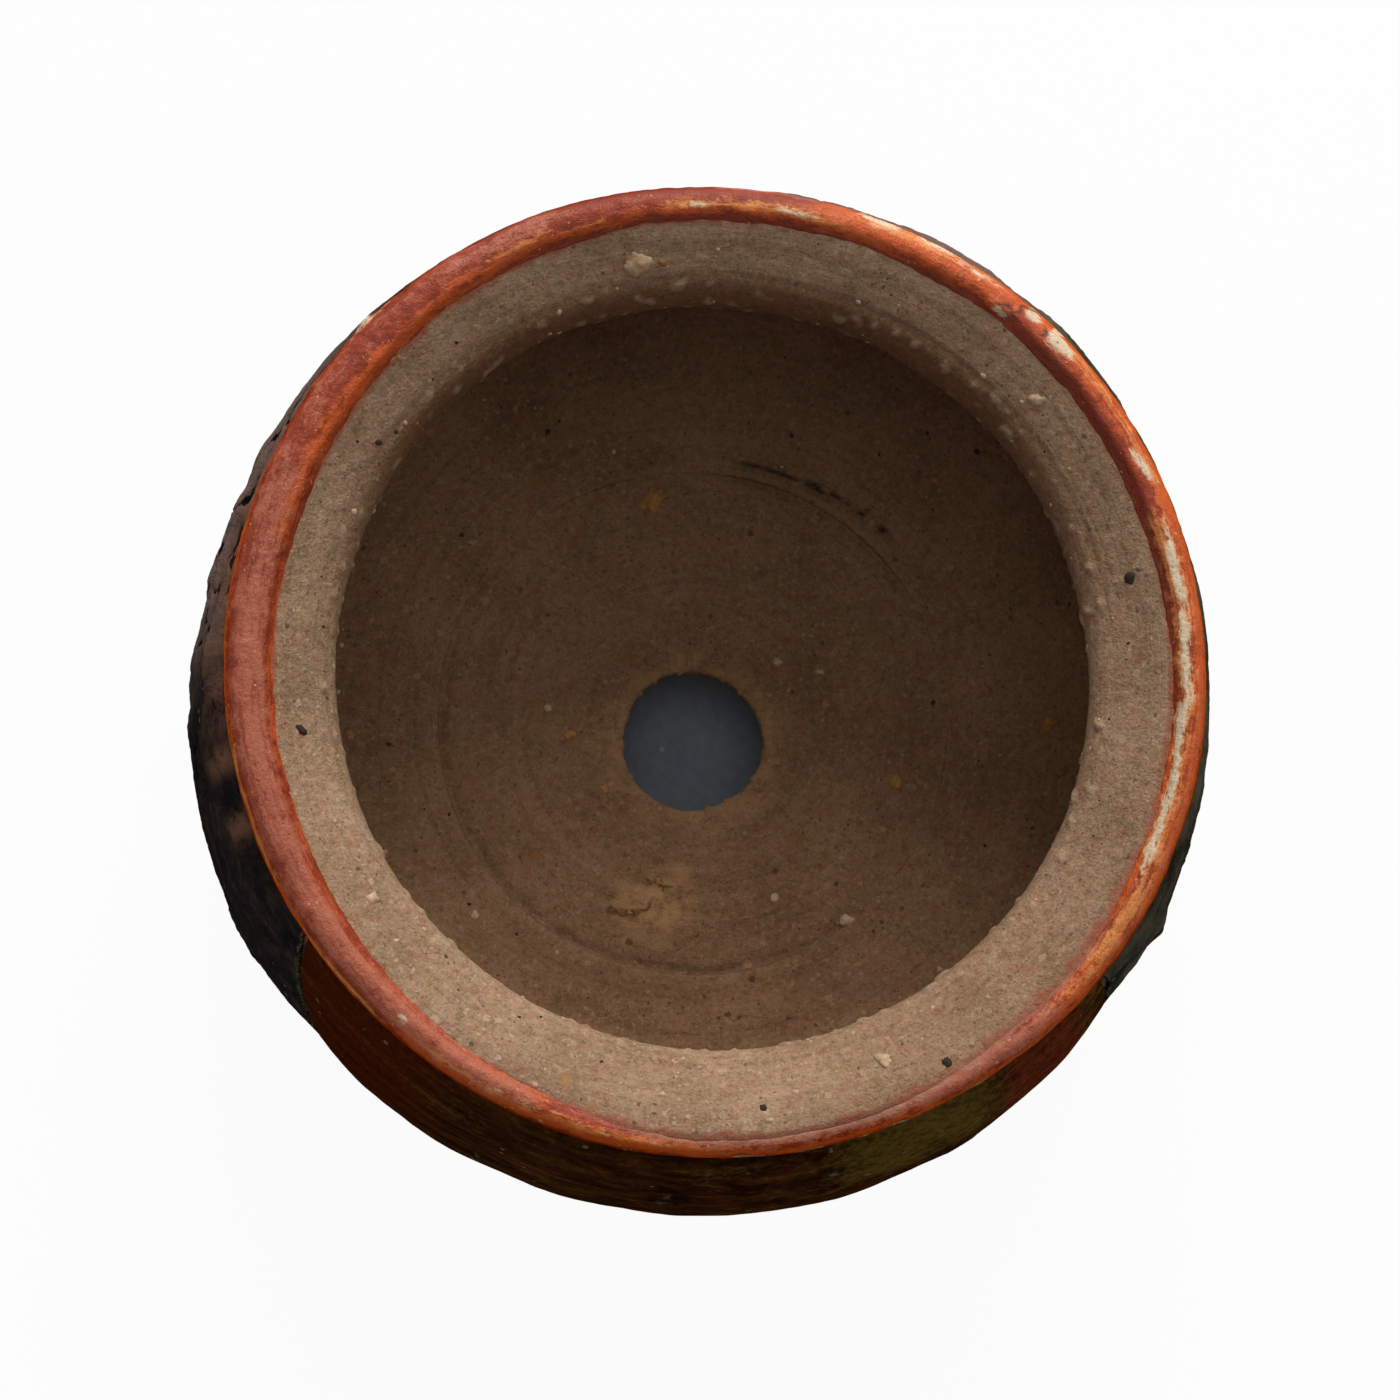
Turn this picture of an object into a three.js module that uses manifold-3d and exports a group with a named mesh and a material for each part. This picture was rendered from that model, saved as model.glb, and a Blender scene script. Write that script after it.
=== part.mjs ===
// A small round stoneware planter pot with one wide mouth, an inturned rim, a drain hole and three pressed feet.
// It is made as a potter makes it: a base slab, a thrown wall and a thick rim coil are luted together, three feet
// go under the slab, two torn clay skins are laid round the wall, and glaze is laid over the lip and the front.
// Millimetres. +Z is up, the ground is z = 0, and the pot's axis is the Z axis.
import * as THREE from "three";
import { mergeVertices } from "three/addons/utils/BufferGeometryUtils.js";
import Module from "manifold-3d";

const manifold = await Module();
manifold.setup();

// Overall sizes
const potHeight = 69; // ground to the crest of the glazed lip
const bellyRadius = 65.4; // over the mean face of the torn skins, at the widest level
const bellyHeight = 31.7; // level of the widest place
const lipRadius = 59; // outermost place of the glazed lip
const lipDrop = 3.2; // from the crest down to that place

// The three thrown and rolled members, from the ground up
const footHeight = 6.5;
const slabThickness = 7.5;
const slabInset = 15.4; // from the belly in to the edge of the base's flat underside
const seamRadius = 33.5; // where the wall's toe meets the floor
const toeHeight = 0.9; // the toe's small rounded edge
const rimCoilHeight = 19; // from the rim's joint up to the crest
const wallThickness = 6.2; // at the belly

// The lip and the throat
const crestRadius = 56.3; // highest ring of the lip
const neckDrop = 6.2; // crest to the groove under the lip
const neckInset = 1.8; // how far the groove lies inside the lip's outermost place
const bandRadius = 52.4; // where the lip's rounding passes into the straight inner slope
const bandDrop = 2.49; // from the crest down to that place
const bandSlope = THREE.MathUtils.degToRad(35); // the inner slope, below the horizontal
const throatRadius = 45.8; // narrowest place of the mouth
const noseRadius = 5.2; // rounding of the throat's nose
const noseEnd = THREE.MathUtils.degToRad(235); // where that rounding ends below, round its own centre

// Drain hole, a little off the axis as it was cut by hand
const drainRadius = 9.2;
const drainOffset = 2.6; // towards the front
const drainFlare = 0.8; // softened edge of the cut at the floor
const drainTaper = 1.6; // the cut widens by that much down to the underside

// Pressed feet
const feetCount = 3;
const footRadius = 7.6; // at the slab, along the pot's radius
const footSoleRadius = 5.9; // flat sole
const footAspect = 1.3; // along the rim against across it
const footEdgeMargin = 3; // from the slab's edge to the foot
const footBulge = 1.2; // how soon the pad swells above its sole
const footSpread = 0.5; // clay smeared out where it meets the slab

// Coats on the clay
const coatGap = 0.3; // between the clay and what is laid on it
const glazeThickness = 0.8;
const glazeEdge = 0.35; // thickness at the glaze's ends
const skinThickness = 1.3; // mean thickness of the torn skins
const skinRelief = 0.75; // height of their ridges
const tearDepth = 1.6; // depth of the bites along a torn edge
const coatDrop = 6.9; // from the rim's crest down to the top of skins and wall glaze
const bareFoot = 10.5; // bare clay below them, above the slab's underside
const skinJoint = 0.9; // open joint between two neighbouring coats
const tearWidth = 1.4; // mean width of a tear right through a skin

// Where the wall's coats meet, as angles round the axis from +X against the clock
const frontLeftEdge = THREE.MathUtils.degToRad(222);
const frontRightEdge = THREE.MathUtils.degToRad(322);
const backJoint = THREE.MathUtils.degToRad(452);

// Tears right through the skins: angle round the axis and slant in degrees, level as a share of the pot's height,
// length as a share of the belly's radius, width as a share of the mean
const leftTears = [
  { turn: 168, level: 0.75, length: 0.4, width: 0.93, slant: 4 },
  { turn: 192, level: 0.64, length: 0.26, width: 1.07, slant: -28 },
  { turn: 140, level: 0.67, length: 0.31, width: 0.86, slant: 17 },
  { turn: 118, level: 0.52, length: 0.25, width: 1, slant: -35 },
  { turn: 206, level: 0.42, length: 0.23, width: 0.93, slant: 38 },
  { turn: 172, level: 0.43, length: 0.29, width: 1, slant: -12 },
];
const rightTears = [
  { turn: 345, level: 0.68, length: 0.23, width: 0.93, slant: -20 },
  { turn: 12, level: 0.51, length: 0.31, width: 1.07, slant: 14 },
  { turn: 40, level: 0.72, length: 0.28, width: 0.86, slant: -8 },
  { turn: 66, level: 0.48, length: 0.25, width: 1, slant: 32 },
];

// Hand shape: how far the pot is out of round, and where the two hands that lifted it off the wheel pressed the
// belly in: angle round the axis and reach to either side in degrees, depth as a share of the mean
const roundError = 0.32;
const pressDepth = 2.1;
const liftPresses = [
  { turn: 143, depth: 1, reach: 42 },
  { turn: 352, depth: 1.05, reach: 32 },
];

// How finely round things are divided
const turnSteps = 60;
const curveSteps = 4;
const footSteps = 16;

const tau = Math.PI * 2;
const degrees = THREE.MathUtils.degToRad;
const mix = THREE.MathUtils.lerp;

// Levels and radii that follow from the sizes above
const floorLevel = footHeight + slabThickness;
const rimJointLevel = potHeight - rimCoilHeight;
const slabRadius = bellyRadius - slabInset;
const neckLevel = potHeight - neckDrop;
const neckRadius = lipRadius - neckInset;
const lipLevel = potHeight - lipDrop;
const coatThickness = coatGap + glazeThickness;
const clayBelly = bellyRadius - coatGap - skinThickness;
const clayLip = lipRadius - coatThickness;
const clayCrest = potHeight - coatThickness;
const noseCentre = new THREE.Vector2(throatRadius + noseRadius, 0);
const noseTop = pointOnNose(Math.PI / 2 + bandSlope, noseCentre);
const bandLevel = potHeight - bandDrop;
noseCentre.y = bandLevel - (bandRadius - noseTop.x) * Math.tan(bandSlope) - noseTop.y;

function pointOnNose(angle, centre) {
  return new THREE.Vector2(centre.x + noseRadius * Math.cos(angle), centre.y + noseRadius * Math.sin(angle));
}

// Outside of the clay: base edge, belly, groove under the lip
function outerWallPath() {
  const path = new THREE.Path();
  const rise = bellyHeight - footHeight;
  path.moveTo(slabRadius, footHeight);
  path.bezierCurveTo(
    mix(slabRadius, clayBelly, 0.45), footHeight + rise * 0.16,
    clayBelly, bellyHeight - rise * 0.47,
    clayBelly, bellyHeight,
  );
  path.bezierCurveTo(
    clayBelly, mix(bellyHeight, neckLevel, 0.38),
    mix(neckRadius, clayBelly, 0.55), mix(bellyHeight, neckLevel, 0.76),
    neckRadius, neckLevel,
  );
  return path;
}

// The lip under its glaze: groove, outer edge, crest, start of the inner slope
function lipPath() {
  const path = new THREE.Path();
  path.moveTo(neckRadius, neckLevel);
  path.quadraticCurveTo(clayLip, mix(neckLevel, lipLevel, 0.4), clayLip, lipLevel);
  path.bezierCurveTo(
    clayLip, mix(lipLevel, clayCrest, 0.6),
    mix(crestRadius, clayLip, 0.6), clayCrest,
    crestRadius, clayCrest,
  );
  const reach = (crestRadius - bandRadius) * 0.3;
  path.bezierCurveTo(
    crestRadius - reach, clayCrest,
    bandRadius + reach, bandLevel + reach * Math.tan(bandSlope),
    bandRadius, bandLevel,
  );
  return path;
}

// The inner slope, the throat's nose and the undercut inside down to the wall's toe
function innerPath() {
  const path = new THREE.Path();
  const innerBelly = clayBelly - wallThickness;
  const slopeAngle = Math.PI / 2 + bandSlope;
  const undercut = pointOnNose(noseEnd, noseCentre);
  const undercutWay = new THREE.Vector2(-Math.sin(noseEnd), Math.cos(noseEnd));
  const toeTop = floorLevel + toeHeight;
  const bowl = bellyHeight - toeTop;
  path.moveTo(bandRadius, bandLevel);
  path.absarc(noseCentre.x, noseCentre.y, noseRadius, slopeAngle, noseEnd, false);
  path.bezierCurveTo(
    undercut.x + undercutWay.x * noseRadius, undercut.y + undercutWay.y * noseRadius,
    innerBelly, mix(bellyHeight, undercut.y, 0.45),
    innerBelly, bellyHeight,
  );
  path.bezierCurveTo(
    innerBelly, bellyHeight - bowl * 0.62,
    mix(seamRadius, innerBelly, 0.55), toeTop + bowl * 0.05,
    seamRadius + toeHeight, toeTop,
  );
  path.quadraticCurveTo(seamRadius, toeTop, seamRadius, floorLevel);
  return path;
}

// The whole clay section as one closed outline, from the axis round the outside and back to the axis
function claySection() {
  const stretches = [outerWallPath(), lipPath(), innerPath()];
  const points = [new THREE.Vector2(0, footHeight)];
  for (const stretch of stretches) {
    for (const point of stretch.getPoints(curveSteps)) {
      if (point.distanceTo(points.at(-1)) > 1e-3) {
        points.push(point);
      }
    }
  }
  points.push(new THREE.Vector2(0, floorLevel));
  return points;
}

// The part of an outline that lies on one side of a level: above it for keep = 1, below it for keep = -1.
// A point on the level itself stays only where the outline leaves the level for the kept side.
function cutOutline(outline, level, keep) {
  const kept = [];
  outline.forEach((point, index) => {
    const before = outline.at(index - 1);
    const next = outline[(index + 1) % outline.length];
    const here = (point.y - level) * keep;
    const there = (next.y - level) * keep;
    const turnsIn = here === 0 && ((before.y - level) * keep > 0 || there > 0);
    if (here > 0 || turnsIn) {
      kept.push(point);
    }
    if (here * there < 0) {
      kept.push(point.clone().lerp(next, here / (here - there)));
    }
  });
  return kept;
}

// How deep the hands went in: most at the belly, nothing at the floor and the neck
function pressedIn(angle, level) {
  const below = THREE.MathUtils.smoothstep(level, floorLevel, bellyHeight);
  const above = 1 - THREE.MathUtils.smoothstep(level, bellyHeight, neckLevel);
  let share = 0;
  for (const press of liftPresses) {
    const off = Math.abs(THREE.MathUtils.euclideanModulo(angle - degrees(press.turn) + Math.PI, tau) - Math.PI);
    share += press.depth * Math.exp(-((off / degrees(press.reach)) ** 2));
  }
  return pressDepth * share * below * above;
}

// How far the clay is out of round at an angle and a level
function roundErrorAt(angle, level) {
  const twist = level / potHeight;
  const oval = Math.cos(2 * angle + 0.7 + 0.5 * twist);
  const lobes = 0.45 * Math.cos(3 * angle - 1.1 + 1.2 * twist);
  const swell = 0.3 * Math.cos(5 * angle + 2.3 * twist);
  return roundError * (oval + lobes + swell) - pressedIn(angle, level);
}

function setHandShape(geometry) {
  const position = geometry.getAttribute("position");
  for (let i = 0; i < position.count; i++) {
    const x = position.getX(i);
    const y = position.getY(i);
    const angle = Math.atan2(y, x);
    const stretch = 1 + roundErrorAt(angle, position.getZ(i)) / bellyRadius;
    position.setX(i, x * stretch);
    position.setY(i, y * stretch);
  }
  return geometry;
}

function revolve(outline, steps = turnSteps) {
  const closed = outline[0].x === 0 ? outline : [...outline, outline[0]];
  return new THREE.LatheGeometry(closed, steps).rotateX(Math.PI / 2);
}

function toSolid(geometry) {
  const bare = geometry.clone();
  bare.deleteAttribute("normal");
  bare.deleteAttribute("uv");
  const merged = mergeVertices(bare, 1e-4);
  return new manifold.Manifold(new manifold.Mesh({
    numProp: 3,
    vertProperties: merged.attributes.position.array,
    triVerts: new Uint32Array(merged.index.array),
  }));
}

function toGeometry(solid) {
  const mesh = solid.getMesh();
  const geometry = new THREE.BufferGeometry();
  geometry.setAttribute("position", new THREE.BufferAttribute(mesh.vertProperties, 3));
  geometry.setIndex(new THREE.BufferAttribute(mesh.triVerts, 1));
  geometry.computeVertexNormals();
  return geometry;
}

// The hole is cut with a knife: its edge wanders a little, is wiped soft at the floor and leaves more room below
function drainCutter() {
  const flared = drainRadius + drainFlare;
  const below = drainRadius + drainTaper;
  const outline = [
    [0, footHeight - drainFlare],
    [below, footHeight - drainFlare],
    [below, footHeight],
    [drainRadius, floorLevel - drainTaper],
    [drainRadius, floorLevel - drainFlare],
    [flared, floorLevel],
    [flared, floorLevel + drainFlare],
    [0, floorLevel + drainFlare],
  ].map(([radius, level]) => new THREE.Vector2(radius, level));
  const cutter = revolve(outline, turnSteps / 2);
  const position = cutter.getAttribute("position");
  for (let i = 0; i < position.count; i++) {
    const angle = Math.atan2(position.getY(i), position.getX(i));
    const wander = 1 + 0.012 * Math.cos(3 * angle + 0.4) + 0.008 * Math.cos(5 * angle + 2);
    position.setX(i, position.getX(i) * wander);
    position.setY(i, position.getY(i) * wander - drainOffset);
  }
  return toSolid(cutter);
}

function floorSlab(section) {
  const slab = setHandShape(revolve(cutOutline(section, floorLevel, -1)));
  return toGeometry(toSolid(slab).subtract(drainCutter()));
}

function wallRing(section) {
  return setHandShape(revolve(cutOutline(cutOutline(section, floorLevel, 1), rimJointLevel, -1)));
}

function rimRing(section) {
  return setHandShape(revolve(cutOutline(section, rimJointLevel, 1)));
}

// A pad of clay pressed on the slab: it narrows to a flat sole and bulges a little at the middle
function foot() {
  const profile = new THREE.Path();
  profile.moveTo(0, 0);
  profile.lineTo(footSoleRadius, 0);
  profile.bezierCurveTo(
    footSoleRadius + footBulge, 0,
    footRadius, footHeight * 0.3,
    footRadius, footHeight * 0.62,
  );
  profile.quadraticCurveTo(footRadius, footHeight * 0.9, footRadius + footSpread, footHeight);
  profile.lineTo(0, footHeight);
  const points = profile.getPoints(curveSteps).filter(
    (point, index, all) => index === 0 || point.distanceTo(all[index - 1]) > 1e-3,
  );
  return revolve(points, footSteps).scale(1, footAspect, 1);
}

// A place on a coat: along a path of the clay section, round the axis, and off the clay by a distance
function coatPoint(path, along, angle, off) {
  const at = path.getPoint(along);
  const way = path.getTangent(along);
  const radius = at.x + way.y * off;
  const level = at.y - way.x * off;
  const stretch = 1 + roundErrorAt(angle, level) / bellyRadius;
  return [radius * stretch * Math.cos(angle), radius * stretch * Math.sin(angle), level];
}

// A closed shell between two faces given as a grid of places. place(u, v, outer) gives one of them,
// u runs round the axis against the clock and v runs up the wall. A whole ring joins up with itself.
function shell(place, columns, rows, wholeRing) {
  const positions = [];
  const triangles = [];
  const rings = wholeRing ? columns : columns + 1;
  const cornerAt = (column, row, outer) => (((column % rings) * (rows + 1)) + row) * 2 + outer;
  for (let column = 0; column < rings; column++) {
    for (let row = 0; row <= rows; row++) {
      positions.push(...place(column / columns, row / rows, 0));
      positions.push(...place(column / columns, row / rows, 1));
    }
  }
  const quad = (a, b, c, d) => triangles.push(a, b, c, a, c, d);
  for (let column = 0; column < columns; column++) {
    for (let row = 0; row < rows; row++) {
      for (const outer of [0, 1]) {
        const corners = [
          cornerAt(column, row, outer),
          cornerAt(column + 1, row, outer),
          cornerAt(column + 1, row + 1, outer),
          cornerAt(column, row + 1, outer),
        ];
        quad(...(outer ? corners : corners.reverse()));
      }
    }
    for (const row of [0, rows]) {
      const corners = [
        cornerAt(column, row, 0),
        cornerAt(column + 1, row, 0),
        cornerAt(column + 1, row, 1),
        cornerAt(column, row, 1),
      ];
      quad(...(row ? corners.reverse() : corners));
    }
  }
  if (!wholeRing) {
    for (let row = 0; row < rows; row++) {
      for (const column of [0, columns]) {
        const corners = [
          cornerAt(column, row, 1),
          cornerAt(column, row + 1, 1),
          cornerAt(column, row + 1, 0),
          cornerAt(column, row, 0),
        ];
        quad(...(column ? corners.reverse() : corners));
      }
    }
  }
  const geometry = new THREE.BufferGeometry();
  geometry.setAttribute("position", new THREE.Float32BufferAttribute(positions, 3));
  geometry.setIndex(triangles);
  geometry.computeVertexNormals();
  return geometry;
}

// The lip's glaze ends in a line that wanders: just inside the crest in front, far down the inner slope on the left
function glazeReach(path, angle) {
  const [, crestAlong, wholeLength] = path.getCurveLengths();
  const inward = 0.487 + 0.19 * Math.cos(2 * angle) - 0.31 * Math.cos(angle + degrees(45));
  return mix(crestAlong, wholeLength, inward) / wholeLength;
}

function rimGlaze() {
  const path = lipPath();
  const rows = 8;
  const place = (u, v, outer) => {
    const angle = u * tau;
    const full = Math.min(1, 4 * Math.min(v, 1 - v));
    const thickness = mix(glazeEdge, glazeThickness, Math.sin(full * Math.PI / 2));
    return coatPoint(path, v * glazeReach(path, angle), angle, coatGap + outer * thickness);
  };
  return shell(place, turnSteps, rows, true);
}

// Height of the torn skin: rounded folds that run round the pot, with sharp creases between them that bend,
// slant and break up
function barkRelief(angle, level) {
  const bend = 1.1 * Math.sin(3 * angle + level * 0.05) + 0.5 * Math.sin(8 * angle - level * 0.12);
  const folds = 2 * Math.sqrt(Math.abs(Math.sin(level * 0.27 + angle * 1.7 + bend))) - 1;
  const lumps = Math.sin(angle * 15 - level * 0.21 + bend) * Math.sin(level * 0.33 + angle * 5);
  return skinRelief * (0.6 * folds + 0.4 * lumps);
}

// Bites along a torn edge, between 0 and 1
function tornBites(place, seed) {
  const coarse = Math.abs(Math.sin(place * 5.3 + seed));
  const fine = Math.abs(Math.sin(place * 13.7 + seed * 2.1));
  return 0.65 * coarse + 0.35 * fine;
}

// How far up the outer wall's path a level lies
function alongWall(path, level) {
  let low = 0;
  let high = 1;
  for (let i = 0; i < 30; i++) {
    const middle = (low + high) / 2;
    if (path.getPoint(middle).y < level) {
      low = middle;
    } else {
      high = middle;
    }
  }
  return low;
}

// One coat on the wall between two upright edges, from a wavy lower line to just under the lip
function wallCoat({ from, to, columns, rows, thicknessAt, bite, seed }) {
  const path = outerWallPath();
  const bottom = footHeight + bareFoot;
  const top = potHeight - coatDrop;
  const openJoint = skinJoint / bellyRadius / 2;
  const place = (u, v, outer) => {
    const start = from + openJoint + bite * tornBites(v * 3, seed) / bellyRadius;
    const end = to - openJoint - bite * tornBites(v * 3 + 1, seed + 1) / bellyRadius;
    const angle = mix(start, end, u);
    const lower = bottom + bite * tornBites(angle * 2, seed + 2);
    const upper = top - bite * 0.4 * tornBites(angle * 2, seed + 3);
    const level = mix(lower, upper, v);
    const off = coatGap + outer * thicknessAt(angle, level, u, v);
    return coatPoint(path, alongWall(path, level), angle, off);
  };
  return shell(place, columns, rows, false);
}

// A tear right through a skin: a jagged slot with pointed ends, laid along the wall and turned by a slant
function tearCutter(tear) {
  const kinks = 5;
  const angle = degrees(tear.turn);
  const length = bellyRadius * tear.length;
  const width = tearWidth * tear.width;
  const upper = [];
  const lower = [];
  for (let i = 0; i <= kinks; i++) {
    const along = length * (i / kinks - 0.5);
    const half = width / 2 * Math.sin(Math.PI * i / kinks);
    const jag = width * 0.6 * Math.sin(2.4 * i + 5 * angle);
    upper.push(new THREE.Vector2(along, jag + half));
    lower.push(new THREE.Vector2(along, jag - half));
  }
  const slot = new THREE.Shape([...lower, ...upper.reverse().slice(1, -1)]);
  const depth = bellyRadius * 0.4;
  const cutter = new THREE.ExtrudeGeometry(slot, { depth, bevelEnabled: false });
  cutter.rotateZ(degrees(tear.slant));
  cutter.rotateX(Math.PI / 2);
  cutter.translate(0, bellyRadius * 1.2, potHeight * tear.level);
  cutter.rotateZ(angle - Math.PI / 2);
  return toSolid(cutter);
}

function barkSkin(coat, tears) {
  const thicknessAt = (angle, level, u, v) => {
    const edge = Math.min(1, 8 * Math.min(u, 1 - u, v, 1 - v));
    return skinThickness * mix(0.75, 1, edge) + barkRelief(angle, level) * mix(0.5, 1, edge);
  };
  let skin = toSolid(wallCoat({ ...coat, thicknessAt, bite: tearDepth }));
  for (const tear of tears) {
    skin = skin.subtract(tearCutter(tear));
  }
  return toGeometry(skin);
}

// Glaze on the smooth front: it ran down, so it is thicker towards its lower edge
function wallGlaze(coat) {
  const thicknessAt = (angle, level, u, v) => {
    const edge = Math.min(1, 6 * Math.min(u, 1 - u, v, 1 - v));
    const runs = 0.12 * Math.sin(angle * 23) * (1 - v);
    return mix(glazeEdge, glazeThickness, edge) + (runs + 0.2 * (1 - v)) * edge;
  };
  return wallCoat({ ...coat, thicknessAt, bite: tearDepth * 0.3 });
}

// Colours as fired
const clayFinish = { color: 0x8a725c, roughness: 0.95, metalness: 0 };
const ironRedFinish = { color: 0x96391c, roughness: 0.35, metalness: 0 };
const oliveBrownFinish = { color: 0x45230f, roughness: 0.3, metalness: 0 };
const blackSkinFinish = { color: 0x221f20, roughness: 0.8, metalness: 0 };
const greySkinFinish = { color: 0x3d3a33, roughness: 0.8, metalness: 0 };

const pot = new THREE.Group();

function addPiece(name, geometry, finish) {
  const piece = new THREE.Mesh(geometry, new THREE.MeshStandardMaterial(finish));
  piece.name = name;
  pot.add(piece);
  return piece;
}

const section = claySection();
addPiece("floor_slab", floorSlab(section), clayFinish);
addPiece("wall_ring", wallRing(section), clayFinish);
addPiece("rim_ring", rimRing(section), clayFinish);

const footCircle = slabRadius - footEdgeMargin - footRadius;
for (let i = 0; i < feetCount; i++) {
  const angle = tau * i / feetCount + Math.PI / 2;
  const pad = addPiece(`foot_${i + 1}`, foot(), clayFinish);
  pad.position.set(footCircle * Math.cos(angle), footCircle * Math.sin(angle), 0);
  pad.rotation.z = angle;
}

addPiece("bark_skin_left", barkSkin({
  from: backJoint - tau,
  to: frontLeftEdge,
  columns: 34,
  rows: 13,
  seed: 1.7,
}, leftTears), blackSkinFinish);
addPiece("bark_skin_right", barkSkin({
  from: frontRightEdge,
  to: backJoint,
  columns: 34,
  rows: 13,
  seed: 4.2,
}, rightTears), greySkinFinish);
addPiece("wall_glaze", wallGlaze({
  from: frontLeftEdge,
  to: frontRightEdge,
  columns: 20,
  rows: 7,
  seed: 2.9,
}), oliveBrownFinish);
addPiece("rim_glaze", rimGlaze(), ironRedFinish);

export default pot;
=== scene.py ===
import math
import random
from bisect import bisect_left

import bmesh
import bpy
from mathutils import Matrix, Vector, noise
from mathutils.bvhtree import BVHTree


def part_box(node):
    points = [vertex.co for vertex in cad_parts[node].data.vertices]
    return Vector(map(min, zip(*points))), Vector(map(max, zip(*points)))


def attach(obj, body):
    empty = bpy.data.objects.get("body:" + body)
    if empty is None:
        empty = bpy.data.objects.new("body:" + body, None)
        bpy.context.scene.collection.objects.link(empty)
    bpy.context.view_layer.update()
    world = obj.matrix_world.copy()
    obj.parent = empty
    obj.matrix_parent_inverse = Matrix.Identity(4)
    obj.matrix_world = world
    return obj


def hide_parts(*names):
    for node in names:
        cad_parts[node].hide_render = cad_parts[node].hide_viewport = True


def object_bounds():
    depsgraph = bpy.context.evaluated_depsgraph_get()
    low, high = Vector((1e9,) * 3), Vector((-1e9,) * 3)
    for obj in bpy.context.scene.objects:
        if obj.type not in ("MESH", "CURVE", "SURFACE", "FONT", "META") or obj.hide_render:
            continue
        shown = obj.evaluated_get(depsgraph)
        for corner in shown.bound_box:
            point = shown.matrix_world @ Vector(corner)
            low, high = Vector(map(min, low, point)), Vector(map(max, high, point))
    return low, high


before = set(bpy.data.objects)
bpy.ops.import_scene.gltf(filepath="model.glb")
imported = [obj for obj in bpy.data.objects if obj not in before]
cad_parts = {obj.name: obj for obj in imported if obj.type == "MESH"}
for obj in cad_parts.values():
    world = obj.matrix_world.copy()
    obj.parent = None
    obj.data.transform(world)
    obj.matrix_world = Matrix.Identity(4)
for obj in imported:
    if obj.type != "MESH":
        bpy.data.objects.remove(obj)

# A vertex is placed in millimetres and comes to metres when its piece is finished
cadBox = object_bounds()
mm = 0.001
tau = 2 * math.pi
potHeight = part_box("rim_glaze")[1].z / mm
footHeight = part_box("foot_1")[1].z / mm
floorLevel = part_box("floor_slab")[1].z / mm
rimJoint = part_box("rim_ring")[0].z / mm


def mix(a, b, t):
    return a + (b - a) * t


def clamp(value, low=0.0, high=1.0):
    return max(low, min(high, value))


def smooth(value, low, high):
    t = clamp((value - low) / (high - low))
    return t * t * (3 - 2 * t)


def bump(value, centre, width):
    return math.exp(-((value - centre) / width) ** 2)


# 1 within half a width of a centre, with soft sides
def stripe(value, centre, half, soft=0.3):
    return smooth(half - abs(value - centre), -soft, soft)


# 1 from the first angle round to the second, in degrees, with soft ends
def sector(angle, first, last, soft=8):
    middle = (first + last) / 2
    off = abs((math.degrees(angle) - middle + 180) % 360 - 180)
    return smooth((last - first) / 2 + soft / 2 - off, 0, soft)


# Noise that closes on itself round the pot: size is the length of its features along the wall
def around(angle, size, seed, height=0.0):
    reach = 58 / size
    return noise.noise(Vector((math.cos(angle) * reach, math.sin(angle) * reach, seed + height)))


def bezier(a, b, c, d, steps):
    points = []
    for i in range(steps + 1):
        t = i / steps
        s = 1 - t
        points.append(tuple(
            s * s * s * a[k] + 3 * s * s * t * b[k] + 3 * s * t * t * c[k] + t * t * t * d[k] for k in (0, 1)
        ))
    return points


def quadratic(a, b, c, steps):
    first = (mix(a[0], b[0], 2 / 3), mix(a[1], b[1], 2 / 3))
    second = (mix(c[0], b[0], 2 / 3), mix(c[1], b[1], 2 / 3))
    return bezier(a, first, second, c, steps)


def arc(centre, radius, start, end, steps):
    turns = [mix(start, end, i / steps) for i in range(steps + 1)]
    return [(centre[0] + radius * math.cos(t), centre[1] + radius * math.sin(t)) for t in turns]


def joined(*stretches):
    points = []
    for stretch in stretches:
        for point in stretch:
            if not points or math.dist(point, points[-1]) > 1e-3:
                points.append(point)
    return points


def spaced(points, step):
    out = [points[0]]
    for a, b in zip(points, points[1:]):
        count = max(1, round(math.dist(a, b) / step))
        out += [(mix(a[0], b[0], i / count), mix(a[1], b[1], i / count)) for i in range(1, count + 1)]
    return out


# The photographer stood above the pot, a little to its front left
camera = {
    "height": 500.0,  # above the crest
    "aside": 79.9,
    "side": math.radians(246.97),
    "aim": (-0.5, -0.54, -30.0),  # from the middle of the crest
    "focal": 4250.0,  # in pixels of the frame
    "frame": 1400.0,
    "sensor": 36.0,
}


def makeCamera(c):
    crest = Vector((0, 0, potHeight))
    place = crest + Vector((c["aside"] * math.cos(c["side"]), c["aside"] * math.sin(c["side"]), c["height"]))
    back = (place - crest - Vector(c["aim"])).normalized()
    right = Vector((0, 1, 0)).cross(back).normalized()
    up = back.cross(right)
    data = bpy.data.cameras.new("camera")
    data.sensor_width = c["sensor"]
    data.lens = c["focal"] / c["frame"] * c["sensor"]
    data.clip_start = 0.01
    data.clip_end = 30
    made = bpy.data.objects.new("camera", data)
    bpy.context.collection.objects.link(made)
    made.matrix_world = Matrix.Translation(place * mm) @ Matrix((right, up, back)).transposed().to_4x4()
    bpy.context.scene.camera = made
    return made


cameraObject = makeCamera(camera)
bpy.context.view_layer.update()


# From the camera through a pixel, in millimetres
def sightLine(x, y):
    half = camera["frame"] / 2
    turn = cameraObject.matrix_world.to_3x3()
    way = turn @ Vector(((x - half) / camera["focal"], (half - y) / camera["focal"], -1))
    return cameraObject.matrix_world.translation / mm, way.normalized()


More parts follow.
